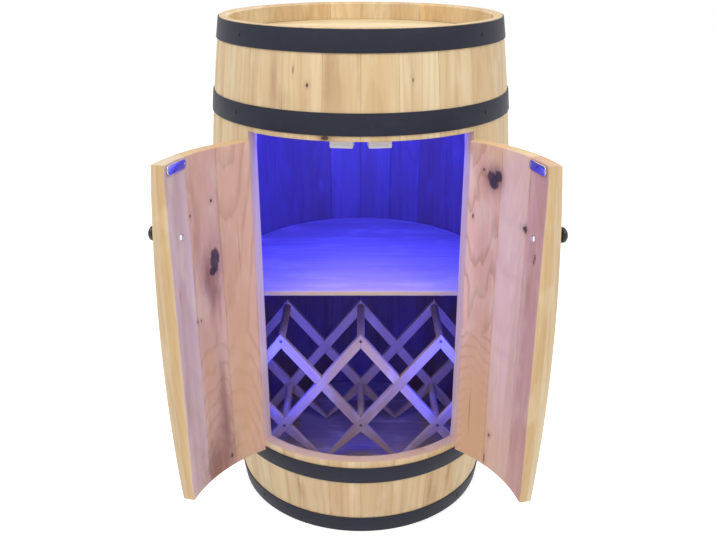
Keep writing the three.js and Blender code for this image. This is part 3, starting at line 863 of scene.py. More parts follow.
def glowing(name, colour, strength, body):
    """A lit lamp face, dimmer in patches, over its own body colour."""
    finish = Finish(name, Roughness=0.3, Emission_Strength=strength)
    patches = finish.clouds(300).step(0.3, 0.7)
    shown = finish.mottled(patches, 0.3, colour, 0.7)
    return finish.surface(Base_Color=finish.mottled(patches, 0.2, body, 0.8), Emission_Color=shown)


hoop_steel = painted_steel("hoop_steel", rgb(0.020, 0.022, 0.036), 0.5, 0.0, wear=0.07, gloss=0.2)
black_steel = painted_steel("black_steel", rgb(0.02, 0.02, 0.022), 0.38, 0.6, scale=200.0)
nail_steel = painted_steel("nail_steel", rgb(0.012, 0.012, 0.014), 0.45, 0.5, scale=300.0)
bright_steel = plated_steel("bright_steel", rgb(0.72, 0.73, 0.76), 0.22)
pole_steel = plated_steel("pole_steel", rgb(0.42, 0.43, 0.46), 0.35)
white_plastic = moulded_plastic("white_plastic", rgb(0.80, 0.80, 0.82))
dark_plastic = moulded_plastic("dark_plastic", rgb(0.05, 0.05, 0.055))
knob_lacquer = painted_steel("knob_lacquer", rgb(0.018, 0.014, 0.012), 0.28, 0.0, scale=120.0)
tape_glow = glowing("tape_glow", rgb(0.02, 0.03, 1.0), 1.2, rgb(0.10, 0.12, 0.6))
lamp_glow = glowing("lamp_glow", rgb(0.10, 0.16, 1.0), 9.0, rgb(0.6, 0.65, 0.9))


# Staves

STAVE_TINTS = {7: (1.0, 0.93, 0.80), 11: (0.87, 0.78, 0.66)}


def make_staves():
    """Long staves: the rows of the lower half, and the same turned over for the upper half."""
    levels = [*np.linspace(PLAIN_WALL_START, SHOULDER, 6), *np.linspace(SHOULDER, HALF_HEIGHT, 9)[1:]]
    lower = chime_rows() + wall_rows(levels)
    rows = lower + upside_down(lower)[1:]
    for number, (start, end) in enumerate(zip(back_seams, back_seams[1:]), 1):
        tint = STAVE_TINTS.get(number, next_tint())
        skin = Skin()
        bent_board(skin, start, end, rows, next_look(), tint)
        node = f"stave_{number:02d}"
        skin.piece(f"{node}_board", "barrel", "stave_wood", [stave_wood, sawn_ends], node)


# Tints of the short staves, from left to right
BAND_TINTS = {
    "lower": (
        (1.06, 1.05, 1.02), (1.04, 1.02, 0.99), (1.04, 1.0, 0.96),
        (1.07, 1.06, 1.04), (1.04, 1.0, 0.93), (1.06, 1.02, 0.95),
    ),
    "upper": (
        (0.98, 0.98, 0.96), (1.0, 0.98, 0.94), (0.99, 0.96, 0.92),
        (0.97, 0.93, 0.85), (1.06, 1.10, 1.12), (1.0, 0.98, 0.94),
    ),
}


def make_front_bands():
    """Short staves below the opening, and above it the same, turned over."""
    for band, height in (("lower", OPENING_BOTTOM), ("upper", BARREL_HEIGHT - OPENING_TOP)):
        levels = np.linspace(PLAIN_WALL_START, height, 8)
        rows = rounded_high(chime_rows() + wall_rows(levels))
        if band == "upper":
            rows = upside_down(rows)
        skin = Skin()
        for start, end, tint in zip(front_seams, front_seams[1:], BAND_TINTS[band]):
            bent_board(skin, start, end, rows, next_look(), tint)
        node = f"front_{band}_staves"
        skin.piece(f"{node}_boards", "barrel", "stave_wood", [front_wood, sawn_ends], node)


# Hoops

def hoop_strip(bottom):
    """A flat strip carried once round the barrel and past its own start, which it laps over. It
    lies on the line between the barrel's radii at its two edges, and the lap rises smoothly."""
    angle = np.concatenate([
        np.linspace(-np.pi, np.pi - 2 * HOOP_RAMP / BELLY_RADIUS, 160),
        np.linspace(np.pi - HOOP_RAMP / BELLY_RADIUS, np.pi + HOOP_LAP / BELLY_RADIUS, 16),
    ])[:, None]
    ramp = np.clip((angle - np.pi) * BELLY_RADIUS / HOOP_RAMP + 1, 0, 1)
    lift = (HOOP_THICKNESS + PIECE_GAP) * ramp ** 2 * (3 - 2 * ramp)
    across, up = rounded_outline(HOOP_THICKNESS, HOOP_WIDTH, HOOP_THICKNESS * 0.45, steps=4).T
    level = bottom + HOOP_WIDTH / 2 + up
    low, high = outer_radius(bottom), outer_radius(bottom + HOOP_WIDTH)
    seat = low + (high - low) * (level - bottom) / HOOP_WIDTH + PIECE_GAP
    return round_barrel(seat + HOOP_THICKNESS / 2 + across + lift, angle, level)[:, ::-1]


def nail(skin, angle, level, radius, size):
    """Domed head on the hoop, its crown two fifths of its radius."""
    crown = size * 0.4
    share = np.linspace(1, 0.05, 8)
    profile = np.column_stack([size * share, crown * np.sqrt(1 - share ** 2)])
    loops = lathe(np.concatenate([[[size, -crown / 2]], profile]), 20)
    skin.loft(put(loops, wall_place(angle, level, radius, outer_slope(level))))


def make_hoops():
    """Each hoop with nails at its sides and two rivets through the lap at the back."""
    for name in ("lower_end_hoop", "lower_inner_hoop", "upper_inner_hoop", "upper_end_hoop"):
        skin = Skin().loft(hoop_strip(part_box(name)[0].z))
        skin.piece(f"{name}_strip", "barrel", "hoop_steel", [hoop_steel], name)
        middle = middle_level(name)
        seat = outer_radius(middle) + PIECE_GAP + HOOP_THICKNESS
        nails = Skin()
        for angle in (HOOP_NAIL_ANGLE, np.pi - HOOP_NAIL_ANGLE):
            for side in (-1, 1):
                nail(nails, side * angle, middle, seat, HOOP_NAIL_RADIUS)
        for share in LAP_RIVET_SHARES:
            angle = np.pi + share * HOOP_LAP / BELLY_RADIUS
            nail(nails, angle, middle, seat + HOOP_THICKNESS + PIECE_GAP, LAP_RIVET_RADIUS)
        nails.piece(f"{name}_nails", "barrel", "black_steel", [nail_steel])


# Heads and shelf

def disc_plank(skin, start, end, low, high, edge, rim_radius, face_radius, rim, look, tint):
    """A plank of a disc between two chords: at each chord its half width is what the circle
    leaves, wider at the rim than at the faces, and its first and last sections are thinner."""
    turns = np.linspace(math.asin(start / rim_radius), math.asin(end / rim_radius), 12)
    inset, rise = quarter_rim(edge)
    inner = rim_radius * np.sin(turns)[1:-1]
    across = np.concatenate([start + rise, inner, (end - rise)[::-1]])
    thin = np.concatenate([inset, np.zeros(len(inner)), inset[::-1]])
    radii = np.array([[face_radius], [rim_radius]])
    narrow, wide = np.sqrt(np.maximum(radii ** 2 - across ** 2, 1e-8))
    top, bottom = high - thin, low + thin
    rim_top = np.full_like(top, (low + high + rim) / 2)
    rim_bottom = rim_top - rim
    level = np.stack([bottom, rim_bottom, rim_top, top, top, rim_top, rim_bottom, bottom], -1)
    side = np.stack([-narrow, -wide, -wide, -narrow, narrow, wide, wide, narrow], -1)
    y = np.broadcast_to(across[:, None], side.shape)
    points = np.stack([AXIS[0] + side, AXIS[1] + y, level], -1)
    board = np.stack([y - (start + end) / 2, level - low, side], -1)
    place = np.stack([side, np.zeros_like(side), y], -1)
    skin.loft(points, board=board, place=place, tint=tint, look=look)


def make_heads():
    """Planked heads, bevelled to a rim that sits in the croze."""
    rim_radius = CROZE_RADIUS - PIECE_GAP
    face_radius = rim_radius - HEAD_BEVEL
    edges = np.linspace(-rim_radius + PIECE_GAP, rim_radius - PIECE_GAP, HEAD_PLANKS + 1)
    # The bottom head takes the darker wood, painted shade of the compartment's floor
    for name, finish in (("bottom_head", floor_wood), ("top_head", head_wood)):
        low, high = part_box(name)
        skin = Skin()
        for start, end in zip(edges, edges[1:]):
            seams = start + GLUE_LINE / 2, end - GLUE_LINE / 2
            disc_plank(skin, *seams, low.z, high.z, BOARD_CORNER / 2, rim_radius, face_radius,
                       HEAD_RIM, next_look(0.15, 0.2), next_tint(0.02))
        skin.piece(f"{name}_planks", "barrel", "head_wood", [finish], name)


def make_shelf():
    """A board with a straight front edge and a round back, just inside the faceted wall."""
    skin = Skin()
    radius = (COMPARTMENT_RADIUS - PIECE_GAP) * math.cos(SHELF_HALF_FACET)
    seams = SHELF_SET_BACK - COMPARTMENT_RADIUS, radius - PIECE_GAP
    disc_plank(skin, *seams, SHELF_TOP - SHELF_THICKNESS, SHELF_TOP, BOARD_CORNER, radius, radius,
               SHELF_THICKNESS * 0.9, next_look(0.15, 0.2), PLAIN_TINT)
    skin.piece("shelf_board", "barrel", "board_wood", [board_wood], "shelf")


# Doors

# Inner faces of the door boards: their tints, bluer in part as a painted cast of the blue lamps, and
# how strongly their rings show, from the free edge outwards
DOOR_TINTS = {
    "left": ((1.06, 1.20, 1.48), (1.02, 0.96, 0.94), (1.02, 0.92, 0.80)),
    "right": ((1.0, 0.90, 1.02), (1.14, 1.18, 1.22), (1.13, 1.04, 0.98)),
}
DOOR_FIGURES = {"left": (0.10, 0.34, 0.34), "right": (0.15, 0.08, 0.50)}


def make_door(hand):
    """Three boards glued side by side, mirrored for the left door."""
    body = f"{hand}_door"
    rows = rounded_high(rounded_low(wall_rows(np.linspace(DOOR_BOTTOM, DOOR_TOP, 24))))
    glued = GLUE_LINE / 2
    near = (DOOR_MEETING_GAP / 2, glued, glued)
    far = (glued, glued, DOOR_HINGE_GAP - PIECE_GAP / 2)
    boards = zip(front_seams[3:], front_seams[4:], near, far, DOOR_TINTS[hand], DOOR_FIGURES[hand])
    skin = Skin()
    for start, end, first, last, tint, figure in boards:
        if hand == "left":
            start, end, first, last = -end, -start, last, first
        bent_board(skin, start, end, rows, next_look(figure, 0.2), tint, (first, last), hand)
    skin.piece(f"{body}_boards", body, "door_wood", [door_wood, sawn_ends], f"{body}_panel")


# Foot and neck of the knob: shares of their own radius and of the knob's height
KNOB_FOOT = ((0.94, 0), (1, 0.03), (1, 0.10), (0.92, 0.14))
KNOB_NECK = ((1.08, 0.22), (1, 0.32), (1, 0.42), (1.25, 0.50))


def knob_profile():
    """Foot, neck and a mushroom head whose outline is a rounded cap over a short undercut."""
    turn = np.linspace(-0.5, 1.45, 16)
    head = np.column_stack([np.cos(turn), 0.72 + 0.28 * np.sin(turn)])
    shares = ((KNOB_FOOT, KNOB_FOOT_RADIUS), (KNOB_NECK, KNOB_NECK_RADIUS), (head, KNOB_HEAD_RADIUS))
    return np.concatenate([np.array(rows) * (radius, KNOB_HEIGHT) for rows, radius in shares])


def make_knob(hand):
    """The knob stands on the door's outer face, and its screw's head on the inner one."""
    body = f"{hand}_door"
    angle = SIDES[hand] * KNOB_SET_IN / BELLY_RADIUS
    seat = outer_radius(KNOB_LEVEL) + PIECE_GAP
    place = wall_place(angle, KNOB_LEVEL, seat, outer_slope(KNOB_LEVEL))
    skin = Skin().loft(put(lathe(knob_profile()), place, hand))
    skin.piece(f"{hand}_knob_turned", body, "knob_finish", [knob_lacquer], f"{hand}_knob", 50)
    place = flipped(wall_place(angle, KNOB_LEVEL, inner_radius(KNOB_LEVEL) - PIECE_GAP))
    head = screw_head(KNOB_SCREW_RADIUS, KNOB_SCREW_CROWN, KNOB_SCREW_CROWN * 0.7)
    skin = Skin().loft(put(head, place, hand))
    name = f"{hand}_knob_screw"
    skin.piece(f"{name}_head", body, "bright_steel", [bright_steel], name)


# Catches and strike plates

def strike_place(hand, level, radius):
    """Place that faces the axis, at the angle of the strike plate's middle."""
    angle = SIDES[hand] * math.asin(STRIKE_EDGE / inner_radius(DOOR_TOP))
    return flipped(wall_place(angle, level, radius))


def strike_back():
    """Distance from the axis of a flat plate that just fits inside the curved wall."""
    return math.sqrt(inner_radius(DOOR_TOP) ** 2 - (STRIKE_WIDTH / 2) ** 2) - PIECE_GAP


def make_strike(hand):
    """An oval plate with a screw at each end."""
    name, body = f"{hand}_strike_plate", f"{hand}_door"
    place = strike_place(hand, DOOR_TOP - STRIKE_TOP_INSET - STRIKE_HEIGHT / 2, strike_back())
    corner, edge = STRIKE_HEIGHT / 2 - 0.0001, STRIKE_THICKNESS * 0.3
    plate = slab(STRIKE_WIDTH, STRIKE_HEIGHT, corner, STRIKE_THICKNESS, edge, 12)
    skin = Skin().loft(put(plate, place, hand))
    skin.piece(f"{name}_oval", body, "bright_steel", [bright_steel], name)
    screws = Skin()
    head = screw_head(STRIKE_SCREW_RADIUS, STRIKE_SCREW_RADIUS * 0.25, STRIKE_SCREW_RADIUS * 0.2)
    for side in (-1, 1):
        screws.loft(put(head + (side * STRIKE_SCREW_PLACE, 0, STRIKE_THICKNESS), place, hand))
    screws.piece(f"{hand}_strike_screws", body, "bright_steel", [pole_steel])


def make_catch(hand):
    """A housing that the closed door's strike plate meets, with two pole pieces in its front."""
    name = f"{hand}_magnetic_catch"
    place = strike_place(hand, middle_level(name), strike_back() - STRIKE_THICKNESS - PIECE_GAP)
    corner, edge = CATCH_HEIGHT * 0.12, CATCH_HEIGHT * 0.06
    skin = Skin().loft(put(slab(CATCH_WIDTH, CATCH_HEIGHT, corner, CATCH_DEPTH, edge), place))
    skin.piece(f"{name}_housing", "barrel", "white_plastic", [white_plastic], name)
    poles = Skin()
    width, height, corner = CATCH_WIDTH * 0.72, CATCH_HEIGHT * 0.10, CATCH_HEIGHT * 0.04
    pole = slab(width, height, corner, CATCH_POLE_THICKNESS, CATCH_POLE_EDGE)
    for side in (-1, 1):
        poles.loft(put(pole + (0, side * CATCH_HEIGHT * 0.2, -CATCH_POLE_STAND), place))
    poles.piece(f"{name}_poles", "barrel", "bright_steel", [pole_steel])


def make_catch_block():
    """A rail behind the lintel that the catches hang from, bent along the wall."""
    walls = [(corner.z, inner_radius(corner.z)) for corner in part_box("catch_block")]
    rows = [(level, wall - PIECE_GAP, wall - CATCH_BLOCK_DEPTH) for level, wall in walls]
    rows = rounded_high(rounded_low(rows))
    skin = Skin()
    bent_board(skin, front_seams[2], front_seams[4], rows, next_look(), PLAIN_TINT)
    skin.piece("catch_block_rail", "barrel", "board_wood", [board_wood, sawn_ends], "catch_block")


# Hinges

def rod(radius, length, edge, steps=2):
    """A round rod on the Z axis with chamfered rims."""
    heights = [0, *np.linspace(edge, length - edge, steps), length]
    radii = [radius - edge] + [radius] * steps + [radius - edge]
    return lathe(np.column_stack([radii, heights]), 32)


def make_leaf(hinge, hand, middle, on_door):
    """A plate with screws on the outer face, with webs to its own knuckles on the pin. The
    door's leaf lies towards the front, has the middle knuckle and turns with the door."""
    label, body, first, direction, turned = "frame_leaf", "barrel", 0, 1, None
    if on_door:
        label, body, first, direction, turned = "door_leaf", f"{hand}_door", 1, -1, hand
    pin = pin_of(hand)
    radius = np.hypot(*(pin - AXIS))
    pin_angle = math.asin(abs(pin[0] - AXIS[0]) / radius)

    def beside_pin(distance, level):
        """Place on the outer face at a distance from the pin."""
        angle = SIDES[hand] * (pin_angle + direction * distance / radius)
        return wall_place(angle, level, outer_radius(level) + PIECE_GAP, outer_slope(middle))

    start = KNUCKLE_RADIUS + 2 * PIECE_GAP
    place = beside_pin((start + LEAF_WIDTH) / 2, middle)
    plate = slab(LEAF_WIDTH - start, HINGE_LENGTH, LEAF_CORNER, LEAF_THICKNESS, LEAF_EDGE)
    skin = Skin().loft(put(plate, place, turned))
    pitch = HINGE_LENGTH / KNUCKLES
    length = pitch - PIECE_GAP
    knuckle = rod(KNUCKLE_RADIUS, length, KNUCKLE_RADIUS * 0.08)
    web = slab(start + KNUCKLE_RADIUS, length, WEB_CORNER, LEAF_THICKNESS, WEB_EDGE)
    for index in range(first, KNUCKLES, 2):
        bottom = middle - HINGE_LENGTH / 2 + index * pitch + PIECE_GAP / 2
        skin.loft(knuckle + (*pin, bottom))
        root = beside_pin((start + KNUCKLE_RADIUS * 0.2) / 2, bottom + length / 2)
        skin.loft(put(web, root, turned))
    name = f"{hinge}_{label}"
    skin.piece(f"{name}_plate", body, "black_steel", [black_steel], name)
    screws = Skin()
    head = screw_head(HINGE_SCREW_RADIUS, HINGE_SCREW_CROWN, HINGE_SCREW_CROWN, 32, 9)
    for share in HINGE_SCREW_SHARES:
        screws.loft(put(head + (0, share * HINGE_LENGTH, LEAF_THICKNESS), place, turned))
    screws.piece(f"{name}_screws", body, "black_steel", [nail_steel])


def make_pin(hinge, hand, middle):
    """A pin through the knuckles, with a chamfered foot and a domed head."""
    top = HINGE_LENGTH + PIECE_GAP
    turn = np.linspace(0, 1.45, 6)
    dome = np.column_stack([KNUCKLE_RADIUS * np.cos(turn), top + HINGE_PIN_CROWN * np.sin(turn)])
    shank = [[HINGE_PIN_RADIUS - HINGE_PIN_CHAMFER, 0], [HINGE_PIN_RADIUS, HINGE_PIN_CHAMFER],
             [HINGE_PIN_RADIUS, top], [KNUCKLE_RADIUS * 0.95, top]]
    pin = lathe(np.concatenate([shank, dome]), 32) + (*pin_of(hand), middle - HINGE_LENGTH / 2)
    name = f"{hinge}_pin"
    Skin().loft(pin).piece(f"{name}_turned", "barrel", "black_steel", [black_steel], name)


def make_hinges():
    """Two hinges on each door, each of two leaves and a pin."""
    for hand in SIDES:
        for hinge in (f"{hand}_lower_hinge", f"{hand}_upper_hinge"):
            middle = middle_level(f"{hinge}_frame_leaf")
            make_leaf(hinge, hand, middle, on_door=False)
            make_leaf(hinge, hand, middle, on_door=True)
            make_pin(hinge, hand, middle)


# Lights

def tape_radius(level):
    """Distance from the axis of the tape's back, just inside the faceted wall."""
    return inner_radius(level) * math.cos(TAPE_HALF_FACET) - PIECE_GAP


def add_lamp(skin, angle, level):
    """A square lamp on the face of the tape."""
    place = flipped(wall_place(angle, level, tape_radius(level) - TAPE_BACKING))
    corner, edge = LAMP_SIZE * 0.15, TAPE_THICKNESS * 0.1
    lamp = slab(LAMP_SIZE, LAMP_SIZE, corner, TAPE_THICKNESS - TAPE_BACKING, edge, 3)
    skin.loft(put(lamp, place))


def make_light_tape():
    """A tape up each jamb and one across under the lintel, each with a row of lamps."""
    low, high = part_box("led_strip")
    width = TAPE_WIDTH / COMPARTMENT_RADIUS
    start = FRONT_HALF_ANGLE + TAPE_JAMB_INSET / COMPARTMENT_RADIUS
    skin, lamps = Skin(), Skin()
    levels = np.linspace(low.z, high.z, 34)[:, None]
    along, out = rounded_outline(width, TAPE_BACKING, TAPE_BACKING * 0.02, steps=2).T
    radius = tape_radius(levels) - TAPE_BACKING / 2 - out
    for side in (-1, 1):
        middle = side * (start + width / 2)
        skin.loft(round_barrel(radius, middle + along, levels)[:, ::-1])
        for level in np.arange(low.z + LAMP_SPACING / 2, high.z - TAPE_WIDTH, LAMP_SPACING):
            add_lamp(lamps, middle, level)
    cross_level = high.z - TAPE_WIDTH / 2
    angles = np.linspace(-start - width, start + width, 60)[:, None]
    along, out = rounded_outline(TAPE_WIDTH, TAPE_BACKING, TAPE_BACKING * 0.02, steps=2).T
    radius = tape_radius(cross_level) - TAPE_BACKING / 2 - out
    skin.loft(round_barrel(radius, angles, cross_level + along))
    for angle in np.arange(-start, start, LAMP_SPACING / COMPARTMENT_RADIUS):
        add_lamp(lamps, angle, cross_level)
    skin.piece("led_strip_tape", "barrel", "light_strip", [tape_glow], "led_strip")
    lamps.piece("led_strip_lamps", "barrel", "light_strip", [lamp_glow])


def make_battery_box():
    """A case on the wall, a little narrower than a stave: a base, a lid and a switch."""
    low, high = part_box("led_battery_box")
    height = high.z - low.z
    half_angle = (front_seams[5] - front_seams[4]) / 2
    radius = inner_radius(high.z) * math.cos(half_angle) - PIECE_GAP
    width = 2 * radius * math.sin(half_angle) * BATTERY_WIDTH_SHARE
    place = flipped(wall_place(front_seams[4] + half_angle, (low.z + high.z) / 2, radius))
    base = slab(width, height, BATTERY_CORNER, BATTERY_DEPTH * 0.55, BATTERY_EDGE)
    lid = slab(width * 0.985, height * 0.97, LID_CORNER, BATTERY_DEPTH * 0.43, LID_EDGE)
    skin = Skin().loft(put(base, place)).loft(put(lid + (0, 0, BATTERY_DEPTH * 0.57), place))
    skin.piece("led_battery_case", "barrel", "white_plastic", [white_plastic], "led_battery_box")
    switch = slab(SWITCH_WIDTH, SWITCH_HEIGHT, SWITCH_CORNER, SWITCH_STAND, SWITCH_EDGE)
    switch = switch + (width * 0.28, 0, BATTERY_DEPTH * 0.99)
    skin = Skin().loft(put(switch, place))
    skin.piece("led_battery_switch", "barrel", "white_plastic", [dark_plastic])


# Rack

# Ends of the rising slats, laps and rods, counted in crossings from the middle and up
RISING = (((-3, 2), (-2, 3)), ((-3, 0), (0, 3)), ((-1, 0), (2, 3)), ((1, 0), (3, 2)))
LAPS = ((-2, 1), (-1, 2), (0, 1), (1, 2), (2, 1))
ROD_PLACES = ((-2, 3), (0, 3), (2, 3), (-2, 1), (0, 1), (2, 1))


def crossing(across, up):
    """Distance from the axis and level of a crossing of the slats."""
    return np.array([across * RACK_RUN, RACK_FLOOR - RACK_FOOT_DROP + up * RACK_RISE])


def slat_loops(start, end, rising, front, half_width):
    """One slat along its centre line. Its ends are upright. At each lap the loops lean along
    the other slat, over half of the slat's upright height, and half of its thickness is cut."""
    (x, z), (end_x, end_z) = crossing(*start), crossing(*end)
    slope = (end_z - z) / (end_x - x)
    stretch = math.hypot(1, slope)
    reach = SLAT_WIDTH / 2 * stretch
    lean = reach / 2 / abs(slope)
    cut = SLAT_THICKNESS / 2 + PIECE_GAP / 4
    low, high = max(x, -half_width), min(end_x, half_width)
    stations = [(low, 0, 0)]
    for lap_x, lap_z in (crossing(*lap) for lap in LAPS):
        if low < lap_x < high and abs(z + slope * (lap_x - x) - lap_z) < 1e-6:
            near, far = lap_x - lean - PIECE_GAP / 2, lap_x + lean + PIECE_GAP / 2
            stations += [(near, lean, 0), (near, lean, cut), (far, lean, cut), (far, lean, 0)]
    along, leaning, notch = np.array([*stations, (high, 0, 0)]).T
    centre = z + slope * (along - x)
    lift = np.where(leaning > 0, reach / 2, reach)
    shift = leaning if rising else -leaning
    whole = np.zeros_like(notch)
    front_cut, back_cut = (whole, notch) if rising else (notch, whole)
    low_x, top_x, back = along + shift, along - shift, SLAT_THICKNESS - back_cut
    low_z, top_z = np.maximum([centre - lift, centre + lift], RACK_FLOOR)
    across = np.stack([low_x, top_x, top_x, low_x], -1)
    depth = np.stack([front_cut, front_cut, back, back], -1)
    level = np.stack([low_z, top_z, top_z, low_z], -1)
    points = np.stack([AXIS[0] + across, AXIS[1] + front + depth, level], -1)
    board = np.stack([(level - centre[:, None]) / stretch, depth, across * stretch], -1)
    return points, board


def soften(piece, width):
    """Breaks the sharp edges with a small live bevel."""
    bevel = piece.modifiers.new("edges", "BEVEL")
    bevel.width = width
    bevel.segments = 2
    bevel.limit_method = "ANGLE"
    bevel.angle_limit = math.radians(35)


def make_lattice(name, front, face, facing):
    """Crossed slats, half-lapped, with a screw over the end of each rod."""
    half_width = math.sqrt(COMPARTMENT_RADIUS ** 2 - RACK_FRONT ** 2) - RACK_SIDE_GAP
    skin = Skin()
    for start, end in RISING:
        mirrored = ((-end[0], end[1]), (-start[0], start[1]))
        for ends, rising in (((start, end), True), (mirrored, False)):
            points, board = slat_loops(*ends, rising, front, half_width)
            tint, look = next_tint(), next_look()
            skin.loft(points, end_finish=1, board=board, place=board, tint=tint, look=look)
    slats = skin.piece(f"{name}_slats", "barrel", "rack_wood", [rack_wood, sawn_ends], name)
    soften(slats, SLAT_EDGE)
    screws = Skin()
    head = screw_head(RACK_SCREW_RADIUS, RACK_SCREW_CROWN, RACK_SCREW_RECESS, 32, 9)
    axes = np.array([[-facing, 0, 0], [0, 0, 1], [0, facing, 0]])
    for x, z in (crossing(*place) for place in ROD_PLACES):
        screws.loft(put(head, (np.array([AXIS[0] + x, AXIS[1] + face, z]), axes)))
    screws.piece(f"{name}_screws", "barrel", "black_steel", [nail_steel])


def make_rod(name, x, z):
    """A rod that lies along the depth, between the two lattices."""
    low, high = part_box(name)
    turned = rod(ROD_RADIUS, high.y - low.y, ROD_RADIUS * 0.06, 8)
    along, up, back = np.moveaxis(turned, -1, 0)
    points = np.stack([AXIS[0] + x + along, low.y + back, z - up], -1)
    tint, look = next_tint(), next_look()
    skin = Skin().loft(points, end_finish=1, board=turned, place=turned, tint=tint, look=look)
    skin.piece(f"{name}_turned", "barrel", "rack_wood", [rack_wood, sawn_ends], name)


def make_rack():
    """Front and rear lattice, and the rods at their crossings."""
    rear = RACK_DEPTH - RACK_FRONT
    make_lattice("rack_front_lattice", -RACK_FRONT, -RACK_FRONT, -1)
    make_lattice("rack_rear_lattice", rear, rear + SLAT_THICKNESS, 1)
    for number, place in enumerate(ROD_PLACES, 1):
        make_rod(f"rack_rod_{number}", *crossing(*place))


make_staves()
make_front_bands()
make_hoops()
make_heads()
make_shelf()
for hand in SIDES:
    make_door(hand)
    make_knob(hand)
    make_strike(hand)
    make_catch(hand)
make_catch_block()
make_hinges()
make_light_tape()
make_battery_box()
make_rack()


# Studio

CAMERA_BACK = 1.2971
CAMERA_HEIGHT = 0.9144
CAMERA_PITCH = 0.3922
PHOTO_WIDTH = 716
FOCAL_PIXELS = 819.56
PRINCIPAL_X = 360.8
SENSOR = 36.0

# Each light's place, width, height and watts
STUDIO_LIGHTS = {
    "left_light": ((-1.32, -1.53, 2.85), 1.6, 1.6, 35),
    "right_light": ((1.33, -1.53, 2.85), 1.6, 1.6, 29),
    "back_light": ((0.4, 2.4, 2.2), 2.0, 1.6, 16),
}
WHITE = (1, 1, 1)
LED_BLUE = (0.01, 0.02, 1.0)
GLOW_GAP = 0.035
GLOW_WIDTH = 0.012
GLOW_WATTS_PER_METRE = 6.2
JAMB_GLOW_INSET = 0.008
JAMB_GLOW_TURN = 0.05
LINTEL_GLOW_LENGTH = 0.22
LINTEL_GLOW_WATTS = 4.4
LINTEL_GLOW_INSET = 0.055
LINTEL_GLOW_RISE = 0.005
LINTEL_GLOW_AIM_DROP = 0.02
AMBIENT = 0.6
FLOOR_HALF_SIZE = 6.0


def make_camera():
    """The camera fitted to the photograph: its lens from the focal length in pixels."""
    data = bpy.data.cameras.new("camera")
    data.sensor_width = SENSOR
    data.lens = FOCAL_PIXELS / PHOTO_WIDTH * SENSOR
    data.shift_x = (PHOTO_WIDTH / 2 - PRINCIPAL_X) / PHOTO_WIDTH
    camera = bpy.data.objects.new("camera", data)
    camera.location = (AXIS[0], AXIS[1] - CAMERA_BACK, CAMERA_HEIGHT)
    camera.rotation_euler = (math.pi / 2 - CAMERA_PITCH, 0, 0)
    bpy.context.scene.collection.objects.link(camera)
    bpy.context.scene.camera = camera


def area_light(name, place, aim, width, height, watts, colour):
    """A rectangular lamp turned towards its aim."""
    data = bpy.data.lights.new(name, "AREA")
    data.shape = "RECTANGLE"
    data.size, data.size_y = width, height
    data.energy = watts
    data.color = colour
    lamp = bpy.data.objects.new(name, data)
    lamp.location = place
    direction = Vector(aim) - Vector(place)
    lamp.rotation_euler = direction.to_track_quat("-Z", "Y").to_euler()
    bpy.context.scene.collection.objects.link(lamp)


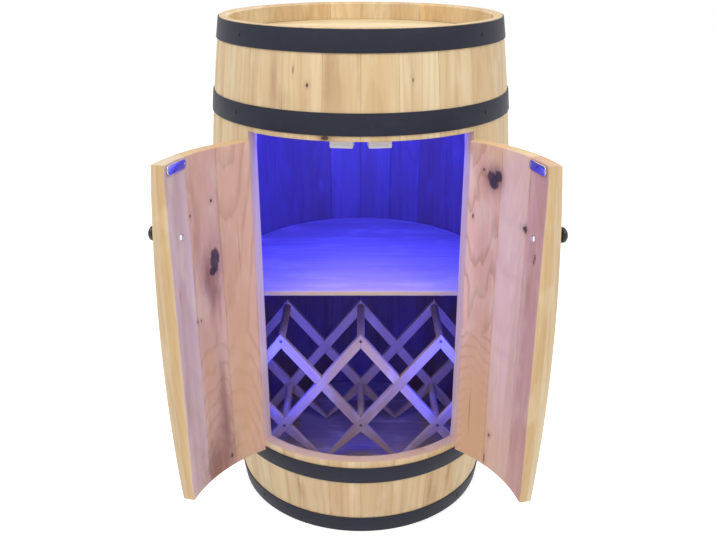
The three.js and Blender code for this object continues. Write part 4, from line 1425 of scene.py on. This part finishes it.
def make_lights():
    """Three lights over the studio, and blue ones inside, along the jambs and the lintel."""
    for name, (place, width, height, watts) in STUDIO_LIGHTS.items():
        area_light(name, place, (*AXIS, HALF_HEIGHT), width, height, watts, WHITE)
    lower = (OPENING_BOTTOM + GLOW_GAP / 2, SHELF_TOP - SHELF_THICKNESS - GLOW_GAP)
    upper = (SHELF_TOP + GLOW_GAP, OPENING_TOP - GLOW_GAP / 2)
    for side in (-1, 1):
        for low, high in (lower, upper):
            middle, height = (low + high) / 2, high - low
            angle = side * (FRONT_HALF_ANGLE + JAMB_GLOW_TURN)
            place = tuple(round_barrel(COMPARTMENT_RADIUS - JAMB_GLOW_INSET, angle, middle))
            aim = (AXIS[0], AXIS[1] + COMPARTMENT_RADIUS / 2, middle)
            watts = GLOW_WATTS_PER_METRE * height
            area_light("jamb_glow", place, aim, GLOW_WIDTH, height, watts, LED_BLUE)
    radius, level = COMPARTMENT_RADIUS - LINTEL_GLOW_INSET, OPENING_TOP + LINTEL_GLOW_RISE
    place = tuple(round_barrel(radius, 0.0, level))
    aim = (AXIS[0], AXIS[1] + COMPARTMENT_RADIUS, OPENING_TOP - LINTEL_GLOW_AIM_DROP)
    size = (LINTEL_GLOW_LENGTH, GLOW_WIDTH)
    area_light("lintel_glow", place, aim, *size, LINTEL_GLOW_WATTS, LED_BLUE)


def seen_directly(tree):
    """1 for rays from the camera, off a glossy surface or through a clear one."""
    ray = tree.nodes.new("ShaderNodeLightPath")
    kinds = ("Camera", "Glossy", "Transmission")
    seen, glossy, through = (Value(tree, ray.outputs[f"Is {kind} Ray"]) for kind in kinds)
    return seen.most(glossy).most(through)


def make_world():
    """White background, dimmer where it only lights the scene."""
    world = bpy.data.worlds.new("studio")
    bpy.context.scene.world = world
    world.use_nodes = True
    tree = world.node_tree
    background = tree.nodes["Background"]
    background.inputs["Color"].default_value = (1, 1, 1, 1)
    feed(tree, background.inputs["Strength"], seen_directly(tree) * (1 - AMBIENT) + AMBIENT)


def make_floor():
    """Paper floor, white to the eye and greyer to bounced light, under its own shadow."""
    mesh = bpy.data.meshes.new("floor")
    corners = np.array([(-1, -1, 0), (1, -1, 0), (1, 1, 0), (-1, 1, 0)]) * FLOOR_HALF_SIZE
    mesh.from_pydata(corners, [], [(0, 1, 2, 3)])
    floor = bpy.data.objects.new("floor", mesh)
    finish = Finish("floor_paper", Roughness=0.9, Specular_IOR_Level=0.1, Emission_Strength=1.0)
    seen = seen_directly(finish.tree)
    speck = finish.clouds(40, upright=1) * 0.1
    colour = finish.mix(speck, rgb(0.90, 0.90, 0.90), rgb(0.87, 0.87, 0.87))
    colour = finish.mix(seen, rgb(0.80, 0.80, 0.80), colour)
    glow = finish.mix(seen, rgb(0, 0, 0), rgb(0.5, 0.5, 0.5))
    mesh.materials.append(finish.surface(Base_Color=colour, Emission_Color=glow))
    bpy.context.scene.collection.objects.link(floor)


make_camera()
make_lights()
make_world()
make_floor()

bpy.context.scene.view_settings.view_transform = "Standard"
